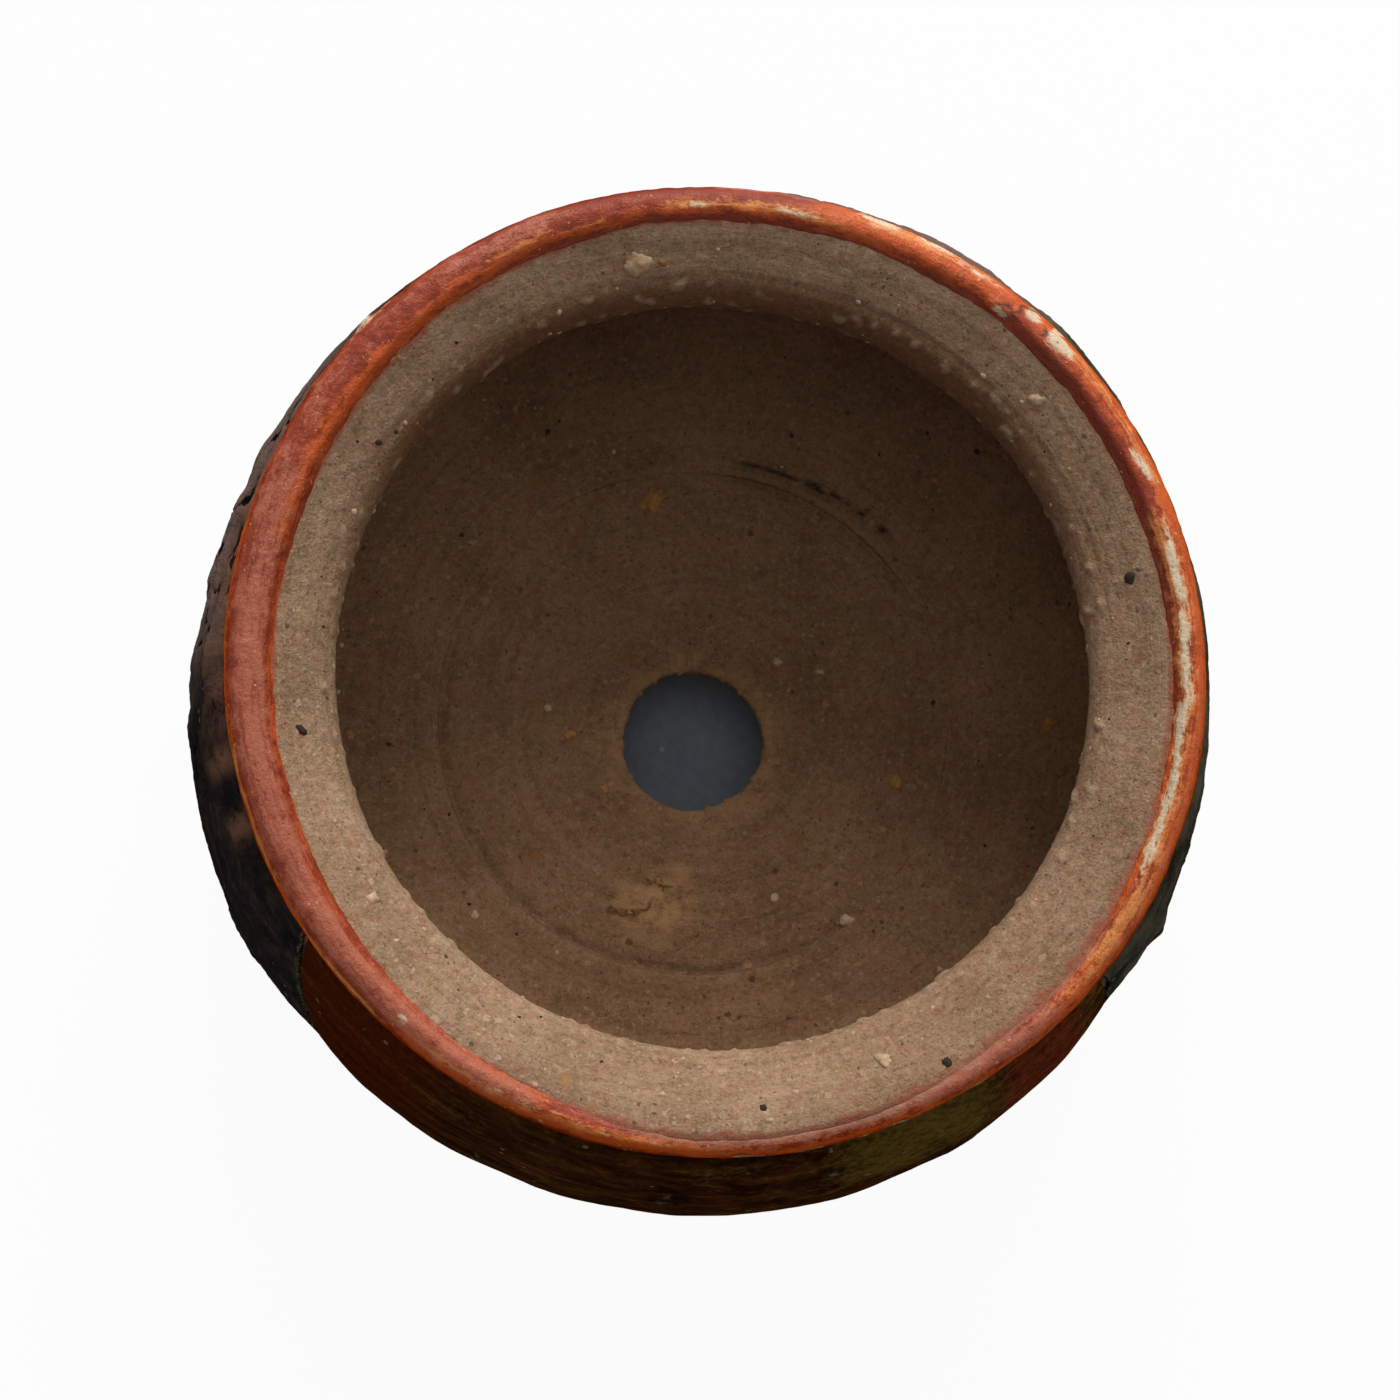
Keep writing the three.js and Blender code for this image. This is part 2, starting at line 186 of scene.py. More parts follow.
# The pot's section, as in the solids
section = {
    "belly": 63.8, "bellyLevel": 31.7, "wall": 6.2,
    "lip": 57.9, "lipDrop": 3.2, "crest": 56.3, "crestDrop": 1.1,
    "neck": 57.2, "neckDrop": 6.2,
    "band": 52.4, "bandDrop": 2.49, "bandSlope": math.radians(35),
    "throat": 45.8, "nose": 5.2, "undercut": math.radians(235),
    "slab": 50.0, "seam": 33.5, "toe": 0.9,
    "drain": 9.2, "drainOffset": 2.6, "drainFlare": 0.8,
    "roundError": 0.32, "bellyOver": 65.4,
    "pressDepth": 2.1, "presses": ((143, 1.0, 42), (352, 1.05, 32)),  # degrees, share, reach in degrees
}


def outerWall(s, steps=24):
    rise = s["bellyLevel"] - footHeight
    neckLevel = potHeight - s["neckDrop"]
    lower = bezier(
        (s["slab"], footHeight),
        (mix(s["slab"], s["belly"], 0.45), footHeight + rise * 0.16),
        (s["belly"], s["bellyLevel"] - rise * 0.47),
        (s["belly"], s["bellyLevel"]), steps,
    )
    upper = bezier(
        (s["belly"], s["bellyLevel"]),
        (s["belly"], mix(s["bellyLevel"], neckLevel, 0.38)),
        (mix(s["neck"], s["belly"], 0.55), mix(s["bellyLevel"], neckLevel, 0.76)),
        (s["neck"], neckLevel), steps,
    )
    return joined(lower, upper)


def lipCurve(s, steps=6):
    neckLevel = potHeight - s["neckDrop"]
    lipLevel = potHeight - s["lipDrop"]
    crestLevel = potHeight - s["crestDrop"]
    bandLevel = potHeight - s["bandDrop"]
    reach = (s["crest"] - s["band"]) * 0.3
    side = quadratic(
        (s["neck"], neckLevel), (s["lip"], mix(neckLevel, lipLevel, 0.4)), (s["lip"], lipLevel), steps,
    )
    top = bezier(
        (s["lip"], lipLevel),
        (s["lip"], mix(lipLevel, crestLevel, 0.6)),
        (mix(s["crest"], s["lip"], 0.6), crestLevel),
        (s["crest"], crestLevel), steps,
    )
    inside = bezier(
        (s["crest"], crestLevel),
        (s["crest"] - reach, crestLevel),
        (s["band"] + reach, bandLevel + reach * math.tan(s["bandSlope"])),
        (s["band"], bandLevel), steps,
    )
    return joined(side, top, inside)


def noseCentre(s):
    lean = math.pi / 2 + s["bandSlope"]
    x = s["throat"] + s["nose"]
    touch = (x + s["nose"] * math.cos(lean), s["nose"] * math.sin(lean))
    bandLevel = potHeight - s["bandDrop"]
    return (x, bandLevel - (s["band"] - touch[0]) * math.tan(s["bandSlope"]) - touch[1])


def innerWall(s, steps=24):
    centre = noseCentre(s)
    nose = arc(centre, s["nose"], math.pi / 2 + s["bandSlope"], s["undercut"], steps)
    way = (-math.sin(s["undercut"]), math.cos(s["undercut"]))
    inner = s["belly"] - s["wall"]
    toeTop = floorLevel + s["toe"]
    bowl = s["bellyLevel"] - toeTop
    under = bezier(
        nose[-1],
        (nose[-1][0] + way[0] * s["nose"], nose[-1][1] + way[1] * s["nose"]),
        (inner, mix(s["bellyLevel"], nose[-1][1], 0.45)),
        (inner, s["bellyLevel"]), steps,
    )
    low = bezier(
        (inner, s["bellyLevel"]),
        (inner, s["bellyLevel"] - bowl * 0.62),
        (mix(s["seam"], inner, 0.55), toeTop + bowl * 0.05),
        (s["seam"] + s["toe"], toeTop), steps,
    )
    toe = quadratic((s["seam"] + s["toe"], toeTop), (s["seam"], toeTop), (s["seam"], floorLevel), 4)
    return joined([(s["band"], potHeight - s["bandDrop"])], nose, under, low, toe)


# The two places where the belly was pressed in as the pot was lifted off the wheel
def pressedIn(angle, level):
    if level < floorLevel:
        return 0
    belly = section["bellyLevel"]
    held = smooth(level, floorLevel, belly) * (1 - smooth(level, belly, potHeight - section["neckDrop"]))
    share = 0
    for turn, depth, reach in section["presses"]:
        off = abs((math.degrees(angle) - turn + 180) % 360 - 180)
        share += depth * math.exp(-(off / reach) ** 2)
    return section["pressDepth"] * share * held


def outOfRound(angle, level):
    twist = level / potHeight
    oval = math.cos(2 * angle + 0.7 + 0.5 * twist)
    lobes = 0.45 * math.cos(3 * angle - 1.1 + 1.2 * twist)
    swell = 0.3 * math.cos(5 * angle + 2.3 * twist)
    off = section["roundError"] * (oval + lobes + swell) - pressedIn(angle, level)
    return 1 + off / section["bellyOver"]


def finishMesh(name, bm):
    bmesh.ops.recalc_face_normals(bm, faces=bm.faces)
    mesh = bpy.data.meshes.new(name)
    bm.to_mesh(mesh)
    bm.free()
    mesh.polygons.foreach_set("use_smooth", [True] * len(mesh.polygons))
    made = bpy.data.objects.new(name, mesh)
    bpy.context.collection.objects.link(made)
    return made


# A closed outline turned about the pot's axis
def ringOf(name, outline, turns):
    bm = bmesh.new()
    rows = len(outline)
    bmesh.ops.create_grid(bm, x_segments=turns, y_segments=rows, size=0.5)
    for vertex in bm.verts:
        angle = (vertex.co.x + 0.5) * tau
        radius, level = outline[round((vertex.co.y + 0.5) * rows) % rows]
        vertex.co = (radius * math.cos(angle), radius * math.sin(angle), level)
    bmesh.ops.remove_doubles(bm, verts=bm.verts, dist=1e-4)
    return finishMesh(name, bm)


# Each vertex goes where placeOf says, from its place and its normal
def reshape(piece, placeOf):
    mesh = piece.data
    normals = [item.vector.copy() for item in mesh.vertex_normals]
    for vertex, normal in zip(mesh.vertices, normals):
        vertex.co = placeOf(vertex.co, normal)
    mesh.update()


def handShape(co, _normal):
    stretch = outOfRound(math.atan2(co.y, co.x), co.z)
    return Vector((co.x * stretch, co.y * stretch, co.z))


def paint(piece, name, valueOf):
    layer = piece.data.attributes.new(name, "FLOAT", "POINT")
    layer.data.foreach_set("value", [valueOf(vertex.co) for vertex in piece.data.vertices])


def settle(piece, material, slot, *nodes):
    piece.data.materials.clear()
    piece.data.materials.append(material)
    piece.data.transform(Matrix.Scale(mm, 4))
    piece.data.update()
    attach(piece, "root")
    if nodes:
        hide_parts(*nodes)
    print("made", piece.name, "with", len(piece.data.polygons), "faces", flush=True)
    return piece


def tint(colour):
    parts = [int(colour[i:i + 2], 16) / 255 for i in (1, 3, 5)]
    return tuple(c / 12.92 if c <= 0.04045 else ((c + 0.055) / 1.055) ** 2.4 for c in parts) + (1.0,)


def addNode(tree, kind, inputs=None, stops=None, **settings):
    node = tree.nodes.new(kind)
    for key, value in settings.items():
        setattr(node, key, value)
    for key, value in (inputs or {}).items():
        if isinstance(value, bpy.types.NodeSocket):
            tree.links.new(value, node.inputs[key])
        else:
            node.inputs[key].default_value = value
    if stops:
        ramp = node.color_ramp
        while len(ramp.elements) < len(stops):
            ramp.elements.new(1.0)
        for element, (at, colour) in zip(ramp.elements, stops):
            element.position = at
            element.color = tint(colour) if isinstance(colour, str) else (colour, colour, colour, 1)
    return node


# Scale of a pattern whose features lie that many millimetres apart
def per(size):
    return 1 / (size * mm)


def startMaterial(name, roughness, level):
    material = bpy.data.materials.new(name)
    material.use_nodes = True
    tree = material.node_tree
    tree.nodes.clear()
    shader = addNode(tree, "ShaderNodeBsdfPrincipled", {"Roughness": roughness, "Specular IOR Level": level})
    addNode(tree, "ShaderNodeOutputMaterial", {"Surface": shader.outputs[0]})
    place = addNode(tree, "ShaderNodeTexCoord").outputs["Object"]
    return material, tree, shader, place


def noiseOf(tree, place, size, detail=3, rough=0.6, bend=0.0):
    return addNode(tree, "ShaderNodeTexNoise", {
        "Vector": place, "Scale": per(size), "Detail": detail, "Roughness": rough, "Distortion": bend,
    }).outputs["Fac"]


def rampOf(tree, value, stops):
    return addNode(tree, "ShaderNodeValToRGB", {"Fac": value}, stops=stops).outputs["Color"]


def blend(tree, amount, under, over, how="MIX"):
    over = tint(over) if isinstance(over, str) else over
    return addNode(tree, "ShaderNodeMix", {0: amount, 6: under, 7: over}, data_type="RGBA", blend_type=how).outputs[2]


def between(tree, value, low, high):
    return addNode(tree, "ShaderNodeMapRange", {0: value, 1: low, 2: high}, interpolation_type="SMOOTHSTEP").outputs[0]


def times(tree, a, b, how="MULTIPLY"):
    return addNode(tree, "ShaderNodeMath", {0: a, 1: b}, operation=how, use_clamp=True).outputs[0]


# Round the pot's axis: radius, level and a little of the way along, so that a pattern is drawn out into rings
def turnedPlace(tree, place, along):
    parts = addNode(tree, "ShaderNodeSeparateXYZ", {0: place})
    flat = addNode(tree, "ShaderNodeCombineXYZ", {0: parts.outputs[0], 1: parts.outputs[1]}).outputs[0]
    radius = addNode(tree, "ShaderNodeVectorMath", {0: flat}, operation="LENGTH").outputs["Value"]
    drift = addNode(tree, "ShaderNodeMath", {0: parts.outputs[0], 1: along}, operation="MULTIPLY").outputs[0]
    other = addNode(tree, "ShaderNodeMath", {0: parts.outputs[1], 1: along}, operation="MULTIPLY").outputs[0]
    drift = addNode(tree, "ShaderNodeMath", {0: drift, 1: other}, operation="ADD").outputs[0]
    turned = addNode(tree, "ShaderNodeCombineXYZ", {0: radius, 1: parts.outputs[2], 2: drift}).outputs[0]
    return turned, parts.outputs[2]


# A place moved about by noise, so that no pattern on it stays regular
def loosePlace(tree, place, size, reach):
    uneven = addNode(tree, "ShaderNodeTexNoise", {"Vector": place, "Scale": per(size), "Detail": 2})
    shift = addNode(tree, "ShaderNodeVectorMath", {
        0: uneven.outputs["Color"], "Scale": reach * mm,
    }, operation="SCALE").outputs[0]
    return addNode(tree, "ShaderNodeVectorMath", {0: place, 1: shift}, operation="ADD").outputs[0]


def painted(tree, name):
    return addNode(tree, "ShaderNodeAttribute", attribute_name=name).outputs["Fac"]


def relief(tree, shader, *layers):
    normal = None
    for height, depth in layers:
        inputs = {"Height": height, "Strength": 1.0, "Distance": depth * mm}
        if normal:
            inputs["Normal"] = normal
        normal = addNode(tree, "ShaderNodeBump", inputs).outputs[0]
    tree.links.new(normal, shader.inputs["Normal"])


# Grains in cells of a size: 1 inside the chosen few, with uneven outlines
def grains(tree, place, size, rarity, reach):
    cells = addNode(tree, "ShaderNodeTexVoronoi", {"Vector": place, "Scale": per(size)})
    parts = addNode(tree, "ShaderNodeSeparateColor", {0: cells.outputs["Color"]})
    chosen = times(tree, parts.outputs[0], rarity, "GREATER_THAN")
    width = times(tree, parts.outputs[1], reach)
    inside = addNode(tree, "ShaderNodeMath", {0: width, 1: cells.outputs["Distance"]}, operation="SUBTRACT").outputs[0]
    return times(tree, chosen, between(tree, inside, -0.02, 0.05))


def coarseStoneware():
    # thrown by hand from grogged stoneware and left bare: fired dry and sandy, ringed by the fingers and the rib
    material, tree, shader, place = startMaterial("coarseStoneware", 0.95, 0.25)
    loose = loosePlace(tree, place, 0.9, 0.6)
    turned, level = turnedPlace(tree, place, 0.015)
    sand = noiseOf(tree, place, 0.42, 3, 0.75)
    rings = noiseOf(tree, turned, 0.8, 4, 0.7)
    colour = rampOf(tree, noiseOf(tree, place, 11, 5, 0.62), [(0.32, "#967b61"), (0.5, "#a5886d"), (0.68, "#b09278")])
    mottle = noiseOf(tree, loose, 2.2, 4, 0.7)
    colour = blend(tree, 0.75, colour, rampOf(tree, mottle, [(0.34, "#f2d2c8"), (0.5, "#ffffff"), (0.66, "#dcdec6")]),
                   "MULTIPLY")
    colour = blend(tree, 0.8, colour, rampOf(tree, sand, [(0.28, 0.5), (0.48, 1.0), (0.75, 1.12)]), "MULTIPLY")
    colour = blend(tree, 0.55, colour, rampOf(tree, rings, [(0.32, 0.65), (0.48, 1.0)]), "MULTIPLY")
    crumbs = noiseOf(tree, loose, 0.9, 2, 0.8)
    colour = blend(tree, times(tree, between(tree, crumbs, 0.56, 0.66), 0.4), colour, "#c7ab8c")
    colour = blend(tree, times(tree, between(tree, crumbs, 0.42, 0.34), 0.4), colour, "#5e4c3a")
    for size, rarity, reach, stain in (
        (2.9, 0.95, 0.36, "#a2764b"),
        (1.5, 0.95, 0.40, "#bfa486"),
        (0.8, 0.86, 0.42, "#bca389"),
        (1.6, 0.98, 0.30, "#42352a"),
        (0.9, 0.95, 0.34, "#45372c"),
        (0.55, 0.90, 0.42, "#5a493b"),
    ):
        colour = blend(tree, times(tree, grains(tree, loose, size, rarity, reach), 0.7), colour, stain)
    sandy = grains(tree, loose, 0.85, 0.45, 0.40)
    colour = blend(tree, times(tree, sandy, 0.16), colour, "#c9b294")
    # Painted shade: clay below 62 mm, fully below 52 mm, is multiplied darker and warmer, which is mostly the inside of
    # the pot
    inside = addNode(tree, "ShaderNodeMapRange", {0: level, 1: 0.062, 2: 0.052}).outputs[0]
    colour = blend(tree, inside, colour, "#dfd4c6", "MULTIPLY")
    # Painted shade: the dark mask multiplies the clay darker under the nose and down the inner wall
    colour = blend(tree, painted(tree, "dark"), colour, "#b39d84", "MULTIPLY")
    patch = painted(tree, "ochre")
    patchy = times(tree, patch, between(tree, noiseOf(tree, loose, 2.4, 4), 0.3, 0.62))
    colour = blend(tree, times(tree, patchy, 0.8), colour, "#bd9465")
    rust = times(tree, painted(tree, "rust"), between(tree, sand, 0.36, 0.52))
    colour = blend(tree, times(tree, rust, 0.8), colour, "#4a1c0c")
    # Painted shade along the floor's seam groove
    colour = blend(tree, times(tree, painted(tree, "seam"), between(tree, mottle, 0.36, 0.6)), colour, "#54431f")
    # The crack mask: real cracks along the floor seam, and painted shade in the open joints between the coats
    colour = blend(tree, times(tree, painted(tree, "crack"), between(tree, sand, 0.3, 0.5)), colour, "#15100c")
    colour = blend(tree, times(tree, painted(tree, "worn"), 0.35), colour, "#b9a388")
    blush = times(tree, times(tree, painted(tree, "blush"), 0.6), times(tree, between(tree, mottle, 0.35, 0.65), 0.4), "ADD")
    colour = blend(tree, times(tree, between(tree, blush, 0.25, 0.9), 0.9), colour, "#9a5743")
    tree.links.new(colour, shader.inputs["Base Color"])
    relief(tree, shader, (sand, 0.22), (rings, 0.14), (sandy, 0.10), (noiseOf(tree, place, 1.4, 3), 0.22))
    return material


def firedGrain(name, colour, other):
    # crushed fired clay and iron stone wedged into the body: dull, sharp, sintered in the firing
    material, tree, shader, place = startMaterial(name, 0.85, 0.3)
    tree.links.new(rampOf(tree, noiseOf(tree, place, 1.2, 4, 0.7), [(0.35, colour), (0.65, other)]),
                   shader.inputs["Base Color"])
    relief(tree, shader, (noiseOf(tree, place, 0.4), 0.12))
    return material


def ironRedGlaze():
    # iron glaze brushed over the lip: satin red, orange where thinner, broken to cream on the crest, with blisters; the
    # cream and amber streaks are partly painted highlight and the pink partly painted sheen
    material, tree, shader, place = startMaterial("ironRedGlaze", 0.4, 0.22)
    loose = loosePlace(tree, place, 1.3, 1.0)
    turned, _level = turnedPlace(tree, loose, 0.09)
    brush = noiseOf(tree, turned, 0.5, 4, 0.75)
    blotch = noiseOf(tree, place, 2.6, 5, 0.65)
    fine = noiseOf(tree, place, 0.5, 3, 0.75)
    colour = rampOf(tree, blotch, [(0.3, "#7c2a12"), (0.5, "#943616"), (0.7, "#aa4620")])
    ragged = times(tree, times(tree, brush, 0.6), times(tree, blotch, 0.4), "ADD")
    ragged = times(tree, between(tree, ragged, 0.36, 0.64), 0.45)
    # The cream, amber and pink tones carry painted highlight and sheen as well as the glaze's own colour
    for name, stain, strength in (
        ("orange", "#cd5a1e", 0.9), ("deep", "#76250a", 0.9), ("pink", "#b0644c", 0.85), ("amber", "#de8e4c", 0.8),
        ("cream", "#dfd3b6", 0.85),
    ):
        edge = times(tree, times(tree, painted(tree, name), 0.6), ragged, "ADD")
        colour = blend(tree, times(tree, between(tree, edge, 0.44, 0.8), strength), colour, stain)
    colour = blend(tree, 0.3, colour, rampOf(tree, brush, [(0.34, 0.6), (0.52, 1.0)]), "MULTIPLY")
    colour = blend(tree, 0.4, colour, rampOf(tree, fine, [(0.3, 0.6), (0.5, 1.0)]), "MULTIPLY")
    for size, rarity, reach, stain in ((1.3, 0.9, 0.22, "#d69a78"), (0.7, 0.88, 0.28, "#e0b898"), (0.8, 0.93, 0.28, "#4a1508")):
        spot = grains(tree, loose, size, rarity, reach)
        colour = blend(tree, times(tree, spot, 0.5), colour, stain)
    colour = blend(tree, painted(tree, "crack"), colour, "#3a160a")
    wash = times(tree, times(tree, painted(tree, "wash"), 0.6), ragged, "ADD")
    colour = blend(tree, times(tree, between(tree, wash, 0.3, 0.9), 0.8), colour, "#9c7059")
    tree.links.new(colour, shader.inputs["Base Color"])
    side = painted(tree, "side")
    rough = rampOf(tree, blotch, [(0.35, 0.42), (0.65, 0.3)])
    tree.links.new(blend(tree, side, rough, (0.7, 0.7, 0.7, 1)), shader.inputs["Roughness"])
    level = addNode(tree, "ShaderNodeMapRange", {0: side, 3: 0.25, 4: 0.0}).outputs[0]
    tree.links.new(level, shader.inputs["Specular IOR Level"])
    relief(tree, shader, (fine, 0.16), (blotch, 0.35), (brush, 0.10))
    return material


def oliveGlaze():
    # iron and ash glaze run down over the smooth wall: brown-black to olive, deep red to the left, pale-green drips
    material, tree, shader, place = startMaterial("oliveGlaze", 0.5, 0.0)
    turned, _level = turnedPlace(tree, place, 0.5)
    blotch = noiseOf(tree, turned, 3.2, 6, 0.7, 0.4)
    fine = noiseOf(tree, place, 0.9, 4, 0.7)
    colour = rampOf(tree, blotch, [(0.3, "#190e07"), (0.44, "#331b0c"), (0.56, "#4a2c13"), (0.7, "#66451f")])
    ragged = times(tree, between(tree, times(tree, times(tree, blotch, 0.5), times(tree, fine, 0.5), "ADD"), 0.36, 0.64), 0.4)
    for name, stain, strength in (
        ("red", "#561d08", 0.7), ("olive", "#6a5826", 0.75), ("plum", "#70301e", 0.8), ("flow", "#7c2e10", 0.85),
        ("drip", "#7d8468", 0.7),
    ):
        edge = times(tree, times(tree, painted(tree, name), 0.6), ragged, "ADD")
        colour = blend(tree, times(tree, between(tree, edge, 0.3, 0.95), strength), colour, stain)
    colour = blend(tree, 0.6, colour, rampOf(tree, fine, [(0.35, 0.4), (0.62, 1.0)]), "MULTIPLY")
    colour = blend(tree, times(tree, grains(tree, place, 1.4, 0.94, 0.3), 0.5), colour, "#8a8468")
    tree.links.new(colour, shader.inputs["Base Color"])
    relief(tree, shader, (fine, 0.12), (blotch, 0.3))
    return material


def tornSkin(name, low, middle, high, lip):
    # clay skin stained with iron and manganese, stretched until it tore, fired almost dry: dark creases, worn folds
    material, tree, shader, place = startMaterial(name, 0.75, 0.0)
    blotch = noiseOf(tree, place, 4.5, 6, 0.7, 0.4)
    fine = noiseOf(tree, place, 0.7, 4, 0.7)
    fold = painted(tree, "fold")
    height = times(tree, times(tree, fold, 0.6), times(tree, fine, 0.5), "ADD")
    colour = rampOf(tree, blotch, [(0.3, low), (0.52, middle), (0.72, high)])
    colour = blend(tree, times(tree, between(tree, height, 0.5, 0.85), 0.75), colour, high)
    worn = times(tree, painted(tree, "worn"), between(tree, height, 0.3, 0.6))
    colour = blend(tree, times(tree, worn, 0.8), colour, "#75605a")
    colour = blend(tree, times(tree, grains(tree, place, 1.3, 0.9, 0.3), 0.5), colour, "#857e70")
    colour = blend(tree, times(tree, painted(tree, "blush"), between(tree, blotch, 0.34, 0.56)), colour, "#7c5a48")
    colour = blend(tree, times(tree, painted(tree, "lip"), between(tree, fine, 0.38, 0.56)), colour, lip)
    colour = blend(tree, times(tree, between(tree, fold, 0.3, 0.06), 0.9), colour, "#070808")
    flow = times(tree, painted(tree, "flow"), times(tree, blotch, 0.5), "ADD")
    colour = blend(tree, times(tree, between(tree, flow, 0.5, 1.1), 0.85), colour, "#6a260e")
    tree.links.new(colour, shader.inputs["Base Color"])
    relief(tree, shader, (fine, 0.3), (blotch, 0.6))
    return material


def paleFloor():
    # smooth pale board, seen as almost white, that still takes the pot's soft shadow
    material = bpy.data.materials.new("paleFloor")
    material.use_nodes = True
    tree = material.node_tree
    tree.nodes.clear()
    matt = addNode(tree, "ShaderNodeBsdfDiffuse", {"Color": tint("#f4f4f4")}).outputs[0]
    light = addNode(tree, "ShaderNodeEmission", {"Color": (1, 1, 1, 1), "Strength": 1.0}).outputs[0]
    path = addNode(tree, "ShaderNodeLightPath").outputs
    seen = times(tree, path["Is Camera Ray"], path["Is Glossy Ray"], "ADD")
    seen = times(tree, seen, path["Is Transmission Ray"], "ADD")
    both = addNode(tree, "ShaderNodeMixShader", {0: times(tree, seen, 0.95), 1: matt, 2: light}).outputs[0]
    addNode(tree, "ShaderNodeOutputMaterial", {"Surface": both})
    return material


def slateGround():
    # a honed slate tile under the drain hole, dusty
    material, tree, shader, place = startMaterial("slateGround", 0.8, 0.3)
    colour = rampOf(tree, noiseOf(tree, place, 1.5, 4), [(0.3, "#747b86"), (0.7, "#828a96")])
    colour = blend(tree, times(tree, grains(tree, place, 1.6, 0.8, 0.3), 0.5), colour, "#b3bcc0")
    tree.links.new(colour, shader.inputs["Base Color"])
    return material


# Coats: a path of the section, its lengths and what a share of it means
class Track:
    def __init__(self, points):
        self.points = points
        self.levels = [point[1] for point in points]
        self.lengths = [0.0]
        for a, b in zip(points, points[1:]):
            self.lengths.append(self.lengths[-1] + math.dist(a, b))

    def at(self, share, off, angle):
        along = clamp(share, 1e-4, 0.9999) * self.lengths[-1]
        i = clamp(bisect_left(self.lengths, along), 1, len(self.points) - 1)
        a, b = self.points[i - 1], self.points[i]
        length = self.lengths[i] - self.lengths[i - 1]
        t = (along - self.lengths[i - 1]) / length
        radius = mix(a[0], b[0], t) + (b[1] - a[1]) / length * off
        level = mix(a[1], b[1], t) - (b[0] - a[0]) / length * off
        stretch = outOfRound(angle, level)
        return Vector((radius * stretch * math.cos(angle), radius * stretch * math.sin(angle), level))

    def shareOf(self, level):
        i = clamp(bisect_left(self.levels, level), 1, len(self.points) - 1)
        t = (level - self.levels[i - 1]) / (self.levels[i] - self.levels[i - 1])
        return mix(self.lengths[i - 1], self.lengths[i], t) / self.lengths[-1]


coats = {"gap": 0.3, "glaze": 0.8, "glazeEdge": 0.35, "skin": 1.3, "relief": 0.75, "bite": 0.8,
         "drop": 6.5, "bare": 10.5, "joint": 0.4, "sunk": -0.35, "slant": 9}
lipTrack = Track(lipCurve(section, 24))
wallTrack = Track(outerWall(section, 48))


crestAt = Track(lipCurve(section, 24)[:49]).lengths[-1]
lipLength = lipTrack.lengths[-1]


# The glaze ends near the crest in front and far down the bare slope on the left
def glazeReach(angle):
    inward = 0.487 + 0.19 * math.cos(2 * angle) - 0.31 * math.cos(angle + math.radians(45))
    inward += 0.05 * around(angle, 7, 3) + 0.035 * around(angle, 1.6, 5) - 0.22 * sector(angle, 256, 298, 24)
    return mix(crestAt, lipLength, clamp(inward, -0.16, 0.98)) / lipLength


stoneware = coarseStoneware()
throwing = {"ring": 0.06, "lump": 0.16, "grit": 0.07, "groove": 48.1, "grooveDepth": 0.16}


# How far the fingers, the rib and the coarse grain move the bare clay, along its normal
def clayRelief(co):
    angle = math.atan2(co.y, co.x)
    radius = math.hypot(co.x, co.y)
    lean = Vector((radius / 0.9, co.z / 0.9 + math.cos(angle) * 0.7, math.sin(angle) * 0.7))
    rings = throwing["ring"] * noise.noise(lean) + 0.06 * noise.noise(lean * 0.28)
    return rings + throwing["lump"] * noise.noise(co / 8) + throwing["grit"] * noise.noise(co / 1.1)


# Painted shade: the clay that shows in the open joints between the coats is painted dark
def jointShade(co):
    angle = math.atan2(co.y, co.x)
    outside = smooth(math.hypot(co.x, co.y), 57.0, 57.4) * smooth(62.9 - co.z, 0, 0.5) * smooth(co.z, 15, 17)
    return outside * max(sector(angle, centre - 14, centre + 5, 2) for centre in (222, 322, 92))


# Iron from the glaze that soaked into the clay beside it
def glazeStain(co):
    angle = math.atan2(co.y, co.x)
    past = (section["crest"] - math.hypot(co.x, co.y)) * 1.15 - (glazeReach(angle) * lipLength - crestAt)
    reach = mix(0.6, 1.9, sector(angle, 250, 335, 30)) * (1 + 0.8 * around(angle, 5, 6))
    return smooth(reach - past, 0, reach) * (co.z > rimJoint + 8)


# Painted shade: darker clay under the nose on the far side, a little on the front right above 52 mm, and round the wall
# between 16 and 58 mm, most on the far side
def paintedShade(co):
    angle = math.atan2(co.y, co.x)
    far = sector(angle, 25, 160, 50)
    under = smooth(co.z, 16, 30) * smooth(58 - co.z, 0, 6)
    nose = max(far * smooth(50 - math.hypot(co.x, co.y), 0, 3.5), 0.22 * sector(angle, 285, 350, 25)) * (co.z > 52)
    return max(nose, mix(0.35, 0.6, far) * under)


